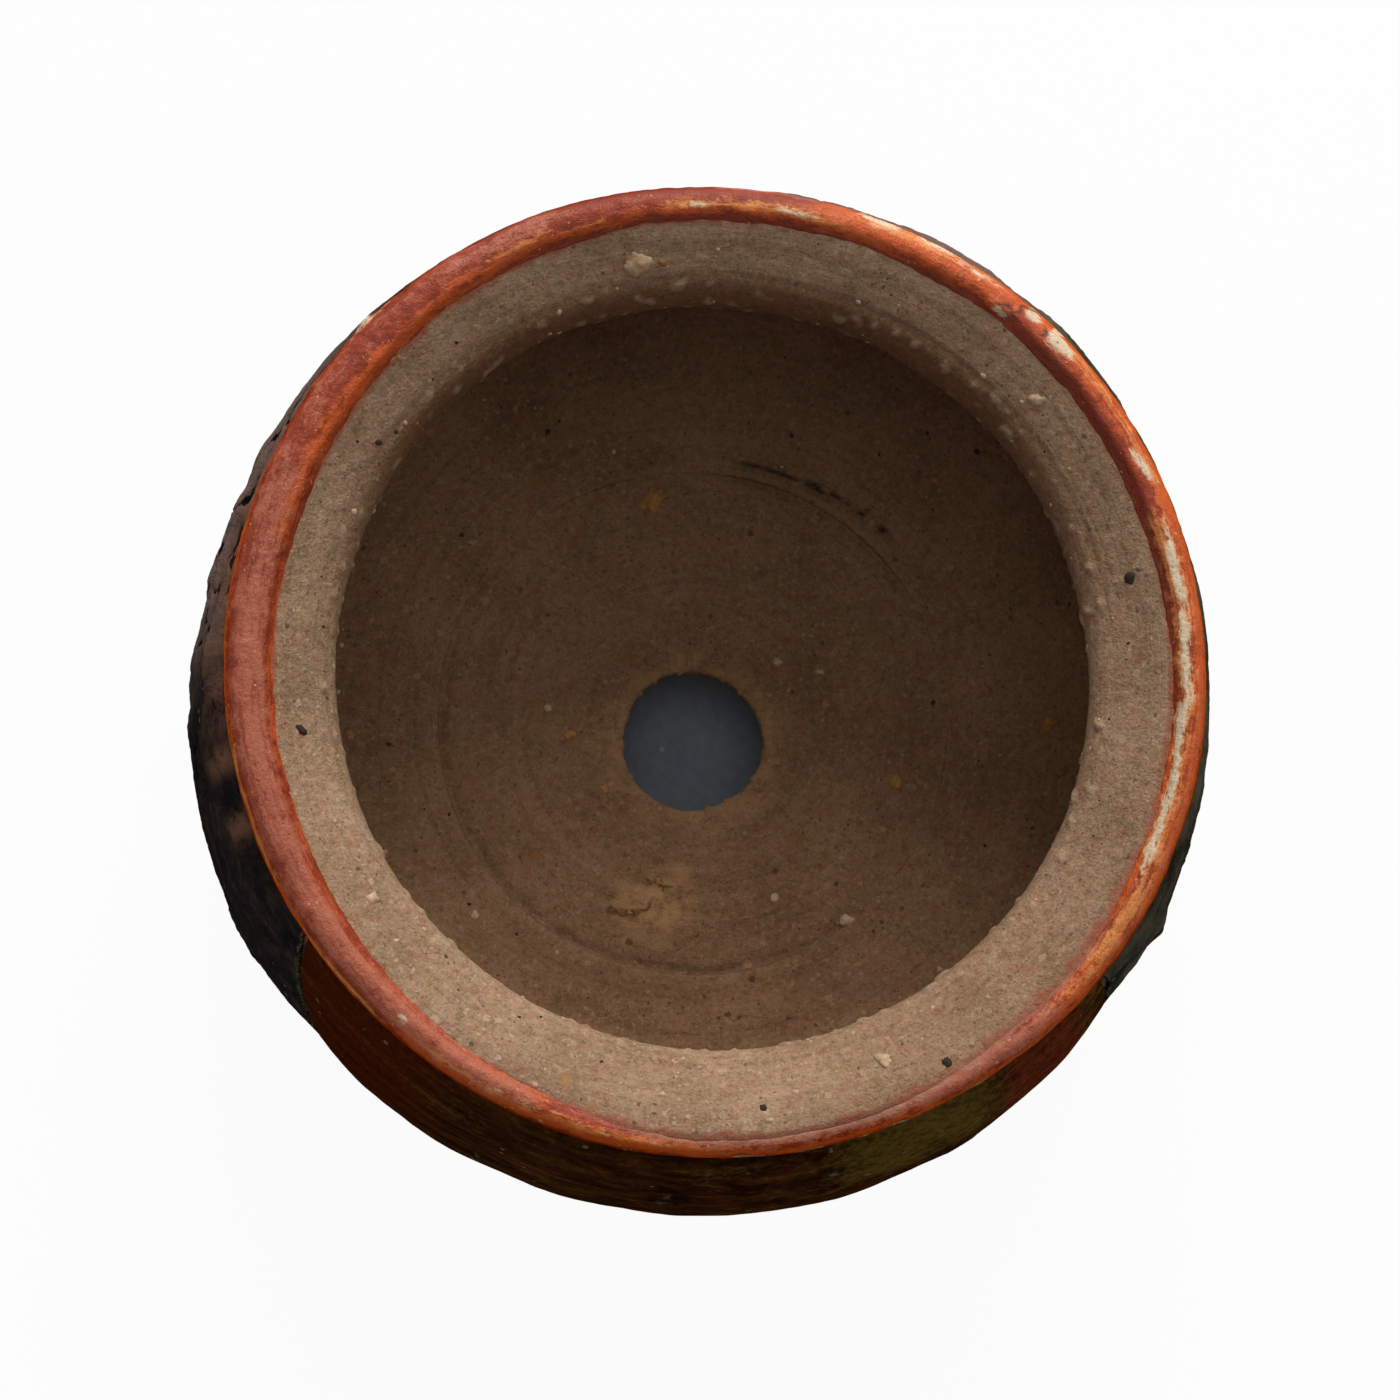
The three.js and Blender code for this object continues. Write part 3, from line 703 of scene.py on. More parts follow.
def makeRimRing():
    wall = [point for point in outerWall(section, 12) if point[1] > rimJoint + 0.5]
    inner = [point for point in spaced(innerWall(section), 0.3) if point[1] > rimJoint + 0.5]
    outline = joined([(wall[0][0] + 0.2, rimJoint)], wall, lipCurve(section), inner, [(inner[-1][0] + 0.3, rimJoint)])
    piece = ringOf("rimRing", outline, 900)
    reshape(piece, handShape)

    def place(co, normal):
        angle = math.atan2(co.y, co.x)
        radius = math.hypot(co.x, co.y)
        off = clayRelief(co)
        inside = smooth(55 - radius, 0, 1)
        width = 0.35 + 0.15 * around(angle, 9, 3)
        off -= inside * throwing["grooveDepth"] * bump(radius, throwing["groove"] + 0.3 * around(angle, 30, 5), width)
        grit = smooth(noise.noise(co / 1.7), 0.32, 0.55) * smooth(49 - radius, 0, 2)
        off += 0.28 * grit * inside
        return co + normal * off * smooth(co.z, rimJoint, rimJoint + 1)

    reshape(piece, place)
    paint(piece, "worn", lambda co: smooth(noise.noise(co / 1.7), 0.28, 0.5) * smooth(50 - math.hypot(co.x, co.y), 0, 2))
    # the crack mask here is painted shade in the open joints
    paint(piece, "crack", jointShade)
    paint(piece, "blush", glazeStain)
    # the dark mask is painted shade
    paint(piece, "dark", paintedShade)
    return settle(piece, stoneware, "bare_clay", "rim_ring")


# Where the wall's toe still shows on the floor, and where it came open in the firing
def seamShows(angle):
    return max(sector(angle, 160, 292, 30), 0.9 * sector(angle, 34, 86, 14))


def seamCrack(co):
    angle = math.atan2(co.y, co.x)
    radius = math.hypot(co.x, co.y)
    line = 35.6 + 0.5 * math.cos(math.radians(180) * (math.degrees(angle) - 38) / 43) + 0.5 * around(angle, 3, 8)
    gape = sector(angle, 42, 80, 12) * (0.6 + 0.8 * around(angle, 2.5, 2))
    return clamp(gape) * bump(radius, line, 0.42)


def makeWallRing():
    wall = [point for point in outerWall(section, 12) if floorLevel + 0.5 < point[1] < rimJoint - 0.5]
    inner = [point for point in spaced(innerWall(section), 0.47) if point[1] < rimJoint - 0.2]
    corners = [(wall[-1][0] - 0.2, rimJoint), (inner[0][0] + 0.1, rimJoint)]
    outline = joined([(wall[0][0] - 0.4, floorLevel)], wall, corners, inner)
    piece = ringOf("wallRing", outline, 720)
    reshape(piece, handShape)

    def place(co, normal):
        angle = math.atan2(co.y, co.x)
        radius = math.hypot(co.x, co.y)
        off = clayRelief(co) * smooth(rimJoint - co.z, 0, 1) * smooth(co.z, floorLevel, floorLevel + 0.6)
        off += 0.12 * math.sin(radius * 1.15 + 0.8 * around(angle, 60, 4)) * bump(radius, 43, 7) * smooth(40 - co.z, 0, 6)
        off -= 1.0 * seamCrack(co)
        moved = co + normal * off
        if radius < 37 and co.z < floorLevel + 2:
            moved.z = floorLevel + (moved.z - floorLevel) * mix(0.35, 1, seamShows(angle))
        return moved

    reshape(piece, place)
    # the crack mask holds the real seam crack and painted shade in the open joints
    paint(piece, "crack", lambda co: max(smooth(seamCrack(co), 0.15, 0.6), jointShade(co)))
    # the dark mask is painted shade
    paint(piece, "dark", paintedShade)
    return settle(piece, stoneware, "bare_clay", "wall_ring")


# Where a pixel's line of sight meets the flat floor
def floorUnder(x, y):
    start, way = sightLine(x, y)
    return start + way * ((floorLevel - start.z) / way.z)


ochrePatch = floorUnder(655, 905)


def ochreAt(co):
    off = (Vector((co.x, co.y, 0)) - Vector((ochrePatch.x, ochrePatch.y, 0))).length
    return smooth(8.2 + 3 * noise.noise(co / 5) - off, 0, 6) * (co.z > floorLevel - 1.5)


# Two short rust veins on the patch, found by the pixels where they show
rustVeins = [[floorUnder(x, y) for x, y in vein] for vein in (
    ((613, 909), (622, 912), (631, 913), (640, 911), (647, 906), (653, 898)), ((647, 876), (655, 881), (663, 884), (675, 887)),
)]


def rustAt(co):
    if co.z < floorLevel - 1.5:
        return 0
    place = co + 0.9 * noise.noise_vector(co / 1.1)
    place.z = floorLevel
    near = 9
    for vein in rustVeins:
        for a, b in zip(vein, vein[1:]):
            along = clamp((place - a).dot(b - a) / (b - a).length_squared)
            near = min(near, (place - a.lerp(b, along)).length)
    return smooth(0.3 + 0.5 * noise.noise(co / 1.6) - near, -0.25, 0.15)


def makeFloorSlab():
    s = section
    wall = [point for point in outerWall(s, 12) if point[1] < floorLevel - 0.3]
    top = [(wall[-1][0] + 0.3, floorLevel), (s["seam"] + 1, floorLevel)]
    floor = spaced([(s["seam"] + 1, floorLevel), (s["drain"] + s["drainFlare"], floorLevel)], 0.3)
    hole = [
        (s["drain"] + 0.3, floorLevel - 0.15), (s["drain"], floorLevel - 0.5), (s["drain"], floorLevel - 1.4),
        (s["drain"] + 0.7, floorLevel - 3.5), (s["drain"] + 1.1, footHeight + 1), (s["drain"] + 1.6, footHeight),
    ]
    outline = joined([(46, footHeight)], wall, top, floor, hole, spaced([hole[-1], (46, footHeight)], 3)[1:-1])
    piece = ringOf("floorSlab", outline, 600)

    def place(co, _normal):
        angle = math.atan2(co.y, co.x)
        near = smooth(30 - math.hypot(co.x, co.y), 0, 19)
        wander = 1 + near * (0.012 * math.cos(3 * angle + 0.4) + 0.008 * math.cos(5 * angle + 2) + 0.012 * around(angle, 18, 7)
                           + 0.02 * around(angle, 4, 9))
        co = handShape(co, None) * wander
        return Vector((co.x, co.y - s["drainOffset"] * near, co.z / wander))

    def mark(co, normal):
        angle = math.atan2(co.y, co.x)
        radius = math.hypot(co.x, co.y)
        off = clayRelief(co)
        if co.z > floorLevel - 2:
            off += 0.16 * bump(radius, 24.6 + 0.4 * around(angle, 40, 1), 0.8) - 0.10 * bump(radius, 23.2, 0.7)
            off += 0.08 * bump(radius, 15.5, 1.2) + 0.035 * math.sin(radius * 1.9)
            off -= 0.32 * seamShows(angle) * bump(radius, 32.9 + 0.3 * around(angle, 12, 6) + 0.3 * around(angle, 3, 2), 0.5)
            off += 0.3 * smooth(noise.noise(co / 1.3), 0.3, 0.5) * smooth(19 - radius, 0, 6)
            off += 0.25 * smooth(noise.noise(co / 2.1), 0.35, 0.55) * smooth(14 - radius, 0, 2)
        return co + normal * off

    reshape(piece, place)
    reshape(piece, mark)
    paint(piece, "ochre", lambda co: max(ochreAt(co), 0.45 * smooth(13.5 + 2 * noise.noise(co / 3)
          - math.hypot(co.x, co.y + s["drainOffset"]), 0, 3)))
    paint(piece, "rust", rustAt)
    # Painted shade along the seam groove, where the wall's toe meets the floor
    paint(piece, "seam", lambda co: 0.5 * seamShows(math.atan2(co.y, co.x))
          * bump(math.hypot(co.x, co.y), 32.9 + 0.3 * around(math.atan2(co.y, co.x), 12, 6), 0.4) * (co.z > floorLevel - 2))
    return settle(piece, stoneware, "bare_clay", "floor_slab")


rimRing = makeRimRing()
wallRing = makeWallRing()
floorSlab = makeFloorSlab()


def makeFoot(node):
    low, high = (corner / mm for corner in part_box(node))
    centre = (low + high) / 2
    turn = math.atan2(centre.y, centre.x)
    outline = joined(
        [(0.01, 0.0), (3.0, 0.0), (5.6, 0.0), (5.9, 0.1)],
        bezier((5.9, 0.1), (7.1, 0.2), (7.6, footHeight * 0.3), (7.6, footHeight * 0.62), 10),
        quadratic((7.6, footHeight * 0.62), (7.6, footHeight * 0.9), (8.1, footHeight), 6),
        [(4.0, footHeight), (0.01, footHeight)],
    )
    piece = ringOf(node.replace("_", ""), outline, 120)
    piece.data.transform(Matrix.Diagonal((1, 1.3, 1, 1)))

    def press(co, normal):
        held = smooth(co.z, 0.1, 1.2) * smooth(footHeight - co.z, 0, 0.8)
        return co + normal * held * (0.3 * noise.noise(co / 4 + centre) + 0.1 * noise.noise(co / 1.3) - 0.15)

    reshape(piece, press)
    piece.data.transform(Matrix.Translation((centre.x, centre.y, 0)) @ Matrix.Rotation(turn, 4, "Z"))
    return settle(piece, stoneware, "bare_clay", node)


feet = [makeFoot(f"foot_{number}") for number in (1, 2, 3)]


# A closed sheet on the clay. place(u, v, outer) gives a point and its masks, u round the pot and v across.
def sheet(name, columns, rows, wholeRing, masks, place):
    bm = bmesh.new()
    backRows = 6
    total = rows + backRows
    bmesh.ops.create_grid(bm, x_segments=columns, y_segments=total, size=0.5)
    layers = [bm.verts.layers.float.new(mask) for mask in masks]
    for vertex in bm.verts:
        row = round((vertex.co.y + 0.5) * total) % total
        outer = row <= rows
        v = row / rows if outer else 1 - (row - rows - 0.5) / (backRows - 1)
        vertex.co, values = place(vertex.co.x + 0.5, clamp(v), outer)
        for layer, value in zip(layers, values):
            vertex[layer] = value
    bmesh.ops.remove_doubles(bm, verts=bm.verts, dist=1e-4)
    if not wholeRing:
        rims = [edge for edge in bm.edges if edge.is_boundary]
        made = bmesh.ops.holes_fill(bm, edges=rims, sides=0)
        bmesh.ops.triangulate(bm, faces=made["faces"])
    return finishMesh(name, bm)


# Streaks of tone over the lip, as the glaze lies thick or thin, with painted highlights: the cream and amber streaks on
# the crest and the outer bead are partly painted highlight, and the pink over the left of the lip is partly painted
# sheen. Each gives strength, first and last degree, then the way from the crest and half the width in millimetres. The
# way is -2.9 at the lip's outermost place.
rimStreaks = {
    "orange": (
        (1.0, -36, 60, -1.3, 1.7), (1.0, -32, -2, 1.1, 0.5), (1.0, 52, 78, -0.4, 1.9), (0.9, 74, 100, 0.6, 0.7),
        (0.9, 96, 122, 1.4, 0.9), (1.0, 118, 160, 1.9, 1.0), (1.0, 150, 182, -2.2, 0.6), (1.0, 178, 222, -2.1, 0.8),
        (0.8, 204, 252, 0.4, 1.5), (1.0, 226, 276, -1.3, 0.9), (1.0, 262, 324, -2.1, 0.7), (1.0, 314, 332, -1.0, 1.5),
        (0.7, 160, 204, 3.1, 0.7),
    ),
    "deep": (
        (1.0, -4, 50, 1.3, 0.8), (0.8, 52, 112, 1.9, 0.5), (0.8, 74, 92, -1.7, 0.8), (1.0, 84, 118, -2.0, 1.3),
        (1.0, 226, 322, -2.9, 0.8), (0.7, 150, 178, -2.9, 0.5), (1.0, -36, -2, -2.6, 0.9),
    ),
    "pink": (
        (0.7, 104, 122, -0.7, 1.2), (0.5, 118, 152, -0.7, 1.4), (0.85, 148, 206, 0.6, 2.0), (1.0, 200, 248, 0.3, 1.5),
        (1.0, 268, 322, -0.6, 0.9),
        (0.6, 238, 258, 0.3, 0.5), (0.8, 76, 88, -1.6, 0.5),
    ),
    "amber": (
        (1.0, -34, -20, -0.1, 0.8), (0.9, -22, 24, 0.35, 0.95), (0.7, 26, 48, -0.8, 0.6), (0.9, 54, 72, -1.1, 0.7),
        (0.9, 74, 96, 0.2, 0.5), (0.6, 98, 116, 0.6, 0.35), (1.0, 184, 204, -1.7, 0.3), (1.0, 210, 226, -1.9, 0.3),
        (0.65, 230, 272, -0.9, 0.4), (0.7, 318, 332, -0.5, 0.6),
    ),
    "cream": (
        (1.0, -21, -12, 0.55, 0.5), (1.0, -14, 3, 0.5, 0.5), (1.0, 0, 13, 0.25, 0.5), (1.0, 11, 22, 0.1, 0.45),
        (0.8, 27, 32, -0.35, 0.4), (1.0, 43.5, 47.5, -0.5, 0.55), (1.0, 46, 47.5, -1.5, 0.6), (1.0, 49, 51, -1.0, 0.9),
        (0.9, 52, 54, 0.8, 0.4), (0.9, 55, 61, -1.0, 0.35), (0.7, 60, 66, -1.3, 0.4), (0.8, 67, 73, -1.5, 0.5),
        (0.7, 76, 82, 0.2, 0.3), (0.7, 87, 92, 0.2, 0.25), (0.6, 127, 135, -1.8, 0.4), (0.9, 129.5, 132.5, -2.5, 0.9),
        (0.8, 129, 132, 3.0, 0.35), (0.5, 214, 223, -1.9, 0.2), (0.7, 226.5, 228, -0.4, 0.35), (0.4, 239, 253, -0.7, 0.2),
        (0.7, 257, 258.3, -1.1, 0.45), (0.4, 260, 268, -1.0, 0.2), (0.5, 273, 321, -2.5, 0.2), (0.5, 288, 289.5, -0.4, 0.3),
        (0.45, 298, 300, -0.6, 0.3), (0.45, 306, 308, -0.4, 0.3),
    ),
}


def rimTones(angle, w, end):
    angle -= math.radians(5.6) * math.sin(angle - math.radians(67))  # the direction in which it is seen in the photo
    degrees = math.degrees(angle) % 360
    drift = 0.3 * around(angle, 8, 4) + 0.2 * around(angle, 2, 1, w / 2)
    tones = []
    for streaks in rimStreaks.values():
        value = 0
        for share, first, last, at, half in streaks:
            there = sector(angle, first, last, min(8, (last - first) * 0.7))
            if there:
                value = max(value, share * there * bump(w, at + drift, half * 1.2))
        tones.append(value)
    crack = max(bump(degrees, 47.9 + 0.4 * math.sin(4 * w), 0.3) * stripe(w, -0.5, 0.5),
                bump(degrees, 51.5 + 0.7 * (w + 0.6) + 0.3 * math.sin(5 * w), 0.3) * stripe(w, -0.8, 0.9),
                bump(w, 0.15 + 0.25 * math.sin(degrees * 2), 0.18) * sector(angle, 51, 54, 0.5))
    side = smooth(-0.7 - w, 0, 1.0) * mix(1, 0.7, sector(angle, 55, 90, 12))
    wash = sector(angle, 258, 334, 12) * smooth(w - end, -1.2, 0.1)
    return *tones, crack, side, wash


def makeRimGlaze():
    masks = (*rimStreaks, "crack", "side", "wash")

    def place(u, v, outer):
        angle = u * tau
        reach = glazeReach(angle)
        w = v * reach * lipLength - crestAt
        end = reach * lipLength - crestAt
        full = clamp(5 * min(v, 1 - v))
        off = coats["sunk"]
        if outer:
            rise = math.sin(full * math.pi / 2)
            off = mix(-0.05, coats["gap"] + coats["glaze"] - 0.04, rise)
            off -= rise * clamp(0.10 - 0.12 * around(angle, 4, 2, w / 2) - 0.08 * around(angle, 1.4, 6, w), 0, 0.4)
            off -= 0.45 * rise * smooth(w - end, -2.0, -0.2)
            off += 0.35 * sector(angle, 51.6, 54, 0.8) * stripe(w, 0.8, 0.6) - 0.2 * sector(angle, 45, 51, 1) * stripe(w, -1, 0.9)
            off -= 0.14 * rise * bump(w, -3.3, 0.35)
            off += 0.5 * bump(math.degrees(angle), 135.9, 1.2) * bump(w, -2.4, 1.0)
        point = lipTrack.at(v * reach, off, angle)
        point.z = min(point.z, potHeight - 0.03)
        return point, rimTones(angle, w, end) if outer else (0,) * len(masks)

    piece = sheet("rimGlaze", 1080, 66, True, masks, place)
    return settle(piece, ironRedGlaze(), "iron_red_glaze", "rim_glaze")


rimGlaze = makeRimGlaze()


def barkRelief(angle, level):
    bend = 1.1 * math.sin(3 * angle + level * 0.05) + 0.5 * math.sin(8 * angle - level * 0.12)
    folds = 2 * math.sqrt(abs(math.sin(level * 0.27 + angle * 1.7 + bend))) - 1
    lumps = math.sin(angle * 15 - level * 0.21 + bend) * math.sin(level * 0.33 + angle * 5)
    return 0.6 * folds + 0.4 * lumps


def tornBites(place, seed):
    return 0.65 * abs(math.sin(place * 5.3 + seed)) + 0.35 * abs(math.sin(place * 13.7 + seed * 2.1))


# Tears: angle and slant in degrees, level, length and width in millimetres
leftTears = ((168, 52, 26, 1.3, 4), (192, 44, 17, 1.5, -28), (140, 46, 20, 1.2, 17),
             (118, 36, 16, 1.4, -35), (206, 29, 15, 1.3, 38), (172, 30, 19, 1.4, -12))
rightTears = ((345, 47, 15, 1.3, -20), (12, 35, 20, 1.5, 14), (40, 50, 18, 1.2, -8), (66, 33, 16, 1.4, 32))


def tearAt(tears, angle, level):
    depth, lip = 0.0, 0.0
    for turn, centre, length, width, slant in tears:
        side = ((math.degrees(angle) - turn + 180) % 360 - 180) * math.radians(1) * section["bellyOver"]
        if abs(side) < length and abs(level - centre) < length:
            lean = math.radians(slant)
            along = side * math.cos(lean) + (level - centre) * math.sin(lean)
            across = (level - centre) * math.cos(lean) - side * math.sin(lean)
            across += 0.9 * width * noise.noise(Vector((along / 2.2, turn, 0)))
            half = width * 0.55 * clamp(1 - (2 * along / length) ** 2) - 0.1
            if abs(along) < length / 2:
                depth = max(depth, smooth(half - abs(across), -0.25, 0.3))
                lip = max(lip, bump(abs(across), half + 0.6, 0.5) * clamp(half * 3))
    return depth, lip


def makeWallCoat(name, start, end, columns, rows, seed, bite, masks, faceOf):
    bottom = footHeight + coats["bare"]
    top = potHeight - coats["drop"]
    openJoint = coats["joint"] / section["bellyOver"] / 2

    def place(u, v, outer):
        lean = coats["slant"] * math.radians(1) * smooth(v, 0.2, 1.1)
        first = start + openJoint + bite * tornBites(v * 3, seed) / section["bellyOver"]
        last = end - openJoint - bite * tornBites(v * 3 + 1, seed + 1) / section["bellyOver"]
        first -= lean * (start == frontLeft)
        last -= lean * (end == frontLeft)
        angle = mix(first, last, u)
        lower = bottom + bite * tornBites(angle * 2, seed + 2)
        upper = top - bite * 0.4 * tornBites(angle * 2, seed + 3)
        level = mix(lower, upper, v)
        off, values = faceOf(angle, level, u, v) if outer else (coats["sunk"], (0,) * len(masks))
        point = wallTrack.at(wallTrack.shareOf(level), off, angle)
        for axis in (0, 1):
            point[axis] = clamp(point[axis], cadBox[0][axis] / mm + 0.01, cadBox[1][axis] / mm - 0.01)
        return point, values

    return sheet(name, columns, rows, False, masks, place)


def skinFace(tears, wornFrom, wornTo, roughFrom, roughTo, lipSide, width=145):
    def faceOf(angle, level, u, v):
        edge = clamp(8 * min(u, 1 - u, v, 1 - v))
        spot = Vector((math.cos(angle) * 62, math.sin(angle) * 62, level))
        rough = mix(0.3, 1, sector(angle, roughFrom, roughTo, 24))
        crease = abs(noise.noise(Vector((spot.x / 9, spot.y / 9, level / 3.2 + 9))))
        cracks = smooth(0.06 - crease, 0, 0.06) * smooth(noise.noise(spot / 12), -0.1, 0.15)
        knobs = noise.noise(Vector((spot.x / 4, spot.y / 4, level / 2.4)))
        grit = noise.noise(spot / 0.9)
        depth, lip = tearAt(tears, angle, level)
        fold = barkRelief(angle, level)
        height = rough * (coats["relief"] * fold * 0.8 + 0.32 * knobs - 0.5 * cracks) + 0.12 * grit + 0.35 * lip
        seam = (1 - u if lipSide else u) * width
        side = (math.degrees(angle) - 332.5) * 1.1
        thick = mix(0.45, 1, edge) * mix(0.5, 1, smooth(seam, 0, 6))
        thick *= 1 - 0.55 * max(sector(angle, 105, 172, 24), 0.7 * sector(angle, 335, 398, 20)) * smooth(level, 20, 35)
        off = coats["gap"] + (coats["skin"] + height) * thick
        off += 0.7 * sector(angle, 150, 190, 14) * noise.noise(spot / 4.5) if lipSide else bump(side, 0, 1.6) * bump(level, 42, 6)
        off = mix(max(off, 0.4), 0.12, depth)
        low = clamp(0.5 + rough * (0.45 * fold + 0.3 * knobs - 0.9 * cracks))
        torn = smooth(0.35 + 0.9 * noise.noise(spot / 2.6) - seam, 0, 0.35)
        near = smooth(level, 52, 58)
        blush = max(sector(angle, 154, 178, 10), 0.6 * sector(angle, 178, 188, 8), sector(angle, 189, 192, 3), sector(angle, 197, 200, 3)) * near * lipSide
        flow = smooth(level, 60.6 - 0.8 * noise.noise(spot / 3), 61.8) * (sector(angle, 176, 330, 20) if lipSide else mix(0.4, 1.2, sector(angle, 310, 350, 12)))
        return off, (low * (1 - depth), sector(angle, wornFrom, wornTo, 14), torn, blush, flow)
    return faceOf


def glazeFace(angle, level, u, v):
    edge = clamp(14 * min(u, 1 - u, v, 1 - v))
    degrees = math.degrees(angle)
    runs = 0.12 * math.sin(angle * 23) * (1 - v)
    off = coats["gap"] + mix(coats["glazeEdge"], coats["glaze"], edge) + (runs + 0.2 * (1 - v)) * edge
    off += 0.12 * around(angle, 7, 3, level / 9) * edge + 0.05 * around(angle, 1.6, 8, level / 2)
    drip = 0.0
    for turn, centre, width, length in ((265, 47, 1.5, 4), (283.5, 53, 1.2, 2.6), (244, 38, 0.8, 4), (301, 35, 0.9, 4)):
        side = (degrees - turn) * math.radians(1) * section["bellyOver"]
        run = (level - centre) / length
        drip = max(drip, bump(side, 0.5 * noise.noise(Vector((level / 3, turn, 0))), width * (1.1 - 0.4 * clamp(run + 0.5)))
                   * smooth(1 - abs(run), 0, 0.5))
    off += 0.3 * drip
    red = max(sector(angle, 212, 238, 18), 0.45 * smooth(around(angle, 9, 12, level / 9), 0.1, 0.5))
    olive = max(sector(angle, 284, 306, 14) * smooth(level, 34, 50), 0.5 * smooth(around(angle, 12, 2, level / 12), 0, 0.5))
    plum = sector(angle, 305, 318, 6)
    flow = smooth(level, 60.4 - 1.2 * around(angle, 3, 9), 62)
    off += 0.5 * bump(degrees, 299.5, 1.8) * bump(level, 38, 5)
    return min(off, 1.5), (red, olive * (1 - red), plum, drip * (0.6 + 0.8 * around(angle, 2, 5, level / 2)), flow)


frontLeft = math.radians(222)
frontRight = math.radians(322)
backJoint = math.radians(452)
skinMasks = ("fold", "worn", "lip", "blush", "flow")

leftSkin = makeWallCoat("barkSkinLeft", backJoint - tau, frontLeft, 460, 130, 1.7, coats["bite"], skinMasks,
                        skinFace(leftTears, 138, 178, 92, 176, True))
settle(leftSkin, tornSkin("blackSkin", "#111215", "#232226", "#4c3d32", "#6f6e52"), "black_skin", "bark_skin_left")
rightSkin = makeWallCoat("barkSkinRight", frontRight, backJoint, 460, 130, 4.2, coats["bite"], skinMasks,
                         skinFace(rightTears, 50, 92, -38, 92, False))
settle(rightSkin, tornSkin("greySkin", "#17150f", "#2f2e24", "#5c584a", "#6b6a54"), "grey_skin", "bark_skin_right")
frontGlaze = makeWallCoat("wallGlaze", frontLeft, frontRight, 400, 120, 2.9, coats["bite"] * 0.3,
                          ("red", "olive", "plum", "drip", "flow"), glazeFace)
settle(frontGlaze, oliveGlaze(), "olive_glaze", "wall_glaze")


# Stones, grog and iron grains stand out of the bare clay. Their places are found on the finished surface.
def treeOf(*pieces):
    points, faces = [], []
    for piece in pieces:
        start = len(points)
        points += [vertex.co / mm for vertex in piece.data.vertices]
        faces += [[start + i for i in polygon.vertices] for polygon in piece.data.polygons]
    return BVHTree.FromPolygons(points, faces)


clayTree = treeOf(rimRing, wallRing, floorSlab)
draw = random.Random(11)


def seenAt(x, y):
    start, way = sightLine(x, y)
    place, normal, _face, _distance = clayTree.ray_cast(start, way)
    return place, normal


def addGrain(bm, place, normal, size, squash=0.55, sunk=0.2):
    made = bmesh.ops.create_icosphere(bm, subdivisions=3 if size > 1.8 else 2 if size > 1.2 else 1, radius=1.0)["verts"]
    seed = Vector((draw.uniform(-50, 50), draw.uniform(-50, 50), draw.uniform(-50, 50)))
    turn = normal.to_track_quat("Z", "Y").to_matrix()
    spin = Matrix.Rotation(draw.uniform(0, tau), 3, "Z")
    long = draw.uniform(0.8, 1.25)
    for vertex in made:
        uneven = 1 + 0.5 * noise.noise(vertex.co * 1.3 + seed) + 0.3 * noise.noise(vertex.co * 3 + seed)
        shape = Vector((vertex.co.x * long, vertex.co.y / long, vertex.co.z * squash)) * uneven * size / 2
        vertex.co = place + turn @ (spin @ shape) - normal * sunk * size / 2


def makeGrains(name, material, spots, scatter):
    bm = bmesh.new()
    for x, y, size in spots:
        place, normal = seenAt(x, y)
        if place:
            addGrain(bm, place, normal, size)
    inner = innerWall(section, 24)
    track = Track(spaced(inner, 0.5))
    for low, high, count, small, large in scatter:
        for _i in range(count):
            angle = draw.uniform(0, tau)
            at = track.at(draw.uniform(low, high), 0, angle)
            place, normal, _face, _distance = clayTree.find_nearest(at)
            addGrain(bm, place, normal, mix(small, large, draw.random() ** 2.5))
    piece = finishMesh(name, bm)
    return settle(piece, material, "bare_clay")


makeGrains("paleGrog", firedGrain("paleGrog", "#a98a68", "#cfb497"), (
    (638, 265, 3.2), (1038, 400, 1.9), (883, 1060, 2.0), (373, 898, 1.7), (413, 972, 1.2), (848, 922, 2.2),
    (341, 645, 0.9), (355, 512, 1.2), (855, 1130, 1.2), (1125, 330, 1.0), (1066, 340, 1.2), (983, 376, 1.0),
    (796, 1092, 0.9), (663, 1094, 1.0), (425, 930, 0.8), (770, 1120, 1.0), (535, 1085, 1.0), (1022, 402, 0.8),
    (778, 662, 1.3), (820, 672, 1.1), (548, 708, 1.2), (475, 915, 1.3), (775, 898, 1.3), (940, 970, 1.2),
), ((0.0, 0.10, 34, 0.35, 0.9), (0.10, 0.20, 60, 0.4, 1.0), (0.2, 1.0, 60, 0.35, 0.9)))
makeGrains("ironGrains", firedGrain("ironGrains", "#1d1713", "#3b2b20"), (
    (764, 1108, 1.2), (947, 1062, 1.3), (302, 730, 1.5), (1130, 578, 1.7), (379, 442, 1.2), (396, 432, 0.8),
    (462, 535, 0.8), (548, 432, 0.9), (792, 436, 0.9), (977, 452, 1.1), (933, 703, 0.9), (389, 744, 0.8),
), ((0.0, 0.2, 50, 0.25, 0.6), (0.2, 1.0, 110, 0.25, 0.7)))
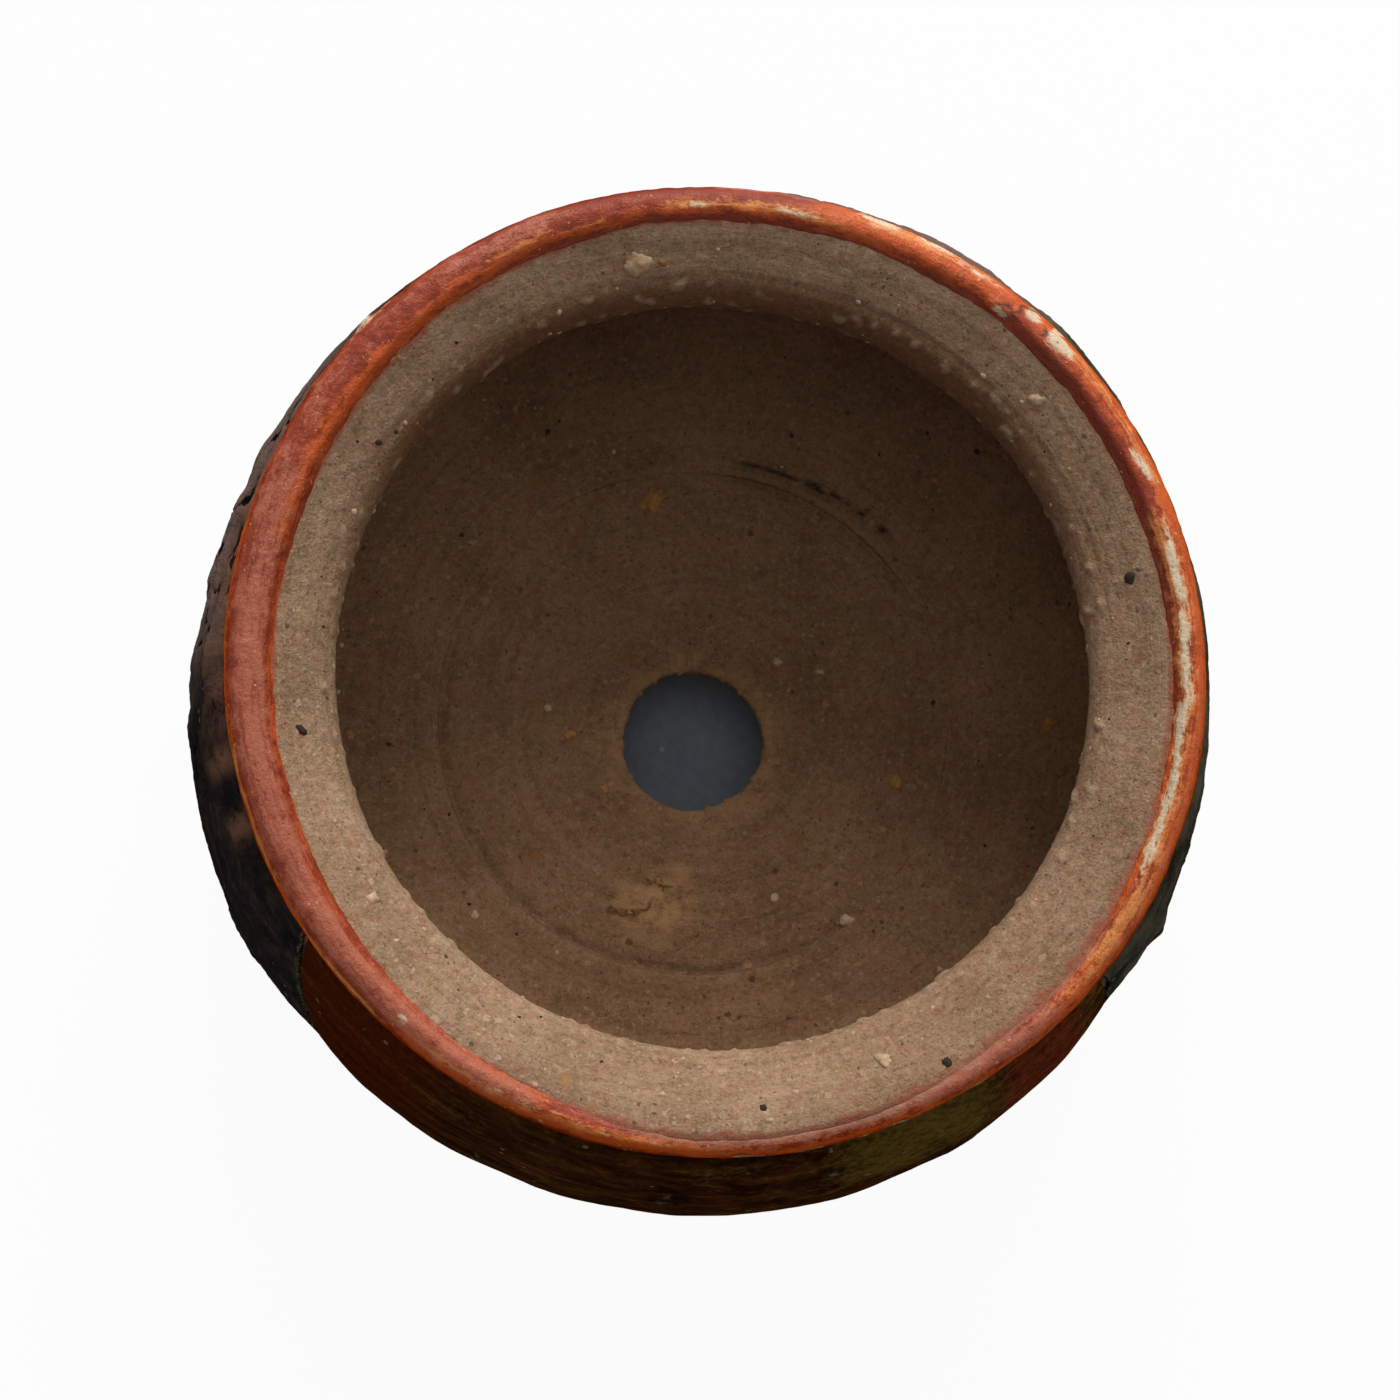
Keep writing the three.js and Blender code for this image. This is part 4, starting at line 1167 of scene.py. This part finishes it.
makeGrains("ochreGrains", firedGrain("ochreGrains", "#8f5f30", "#b98a4e"), (
    (653, 500, 3.0), (570, 735, 1.6), (895, 783, 2.0), (1049, 725, 2.4), (788, 690, 0.9), (515, 410, 1.2),
    (400, 357, 1.2), (605, 790, 1.3), (935, 480, 1.2), (662, 262, 1.2), (350, 735, 1.4),
), ((0.0, 0.2, 6, 0.4, 0.9), (0.2, 1.0, 12, 0.5, 1.2)))


def makeStage():
    for name, radius, level, material in (("floor", 3.0, 0.0, paleFloor()), ("ground", 0.03, 0.0003, slateGround())):
        bm = bmesh.new()
        bmesh.ops.create_circle(bm, cap_ends=True, segments=96, radius=radius)
        for vertex in bm.verts:
            vertex.co.z = level
        made = finishMesh(name, bm)
        made.data.materials.append(material)


# A round soft lamp: how bright a white card facing it at the pot's rim would be, 1 for white
def makeLight(name, azimuth, elevation, distance, size, level, colour):
    data = bpy.data.lights.new(name, "AREA")
    data.shape = "DISK"
    data.size = size
    data.energy = level * (math.pi * distance) ** 2
    data.color = tint(colour)[:3]
    made = bpy.data.objects.new(name, data)
    bpy.context.collection.objects.link(made)
    a, e = math.radians(azimuth), math.radians(elevation)
    way = Vector((math.cos(a) * math.cos(e), math.sin(a) * math.cos(e), math.sin(e)))
    made.location = way * distance + Vector((0, 0, potHeight * mm))
    made.rotation_euler = way.to_track_quat("Z", "Y").to_euler()


def makeWorld(level):
    world = bpy.data.worlds.new("studio")
    bpy.context.scene.world = world
    world.use_nodes = True
    tree = world.node_tree
    tree.nodes.clear()
    path = addNode(tree, "ShaderNodeLightPath").outputs
    seen = times(tree, path["Is Camera Ray"], path["Is Glossy Ray"], "ADD")
    seen = times(tree, seen, path["Is Transmission Ray"], "ADD")
    lit = addNode(tree, "ShaderNodeBackground", {"Color": tint("#fffcf6"), "Strength": level}).outputs[0]
    white = addNode(tree, "ShaderNodeBackground", {"Color": (1, 1, 1, 1), "Strength": 1.0}).outputs[0]
    both = addNode(tree, "ShaderNodeMixShader", {0: seen, 1: lit, 2: white}).outputs[0]
    addNode(tree, "ShaderNodeOutputWorld", {"Surface": both})


makeStage()
makeWorld(0.20)
makeLight("key", 84, 28, 1.5, 1.2, 1.22, "#fffaf6")
makeLight("top", 80, 84, 1.6, 1.0, 0.10, "#ffffff")
makeLight("side", 2, 38, 1.3, 0.5, 0.08, "#ffffff")
bpy.context.scene.view_settings.view_transform = "Standard"
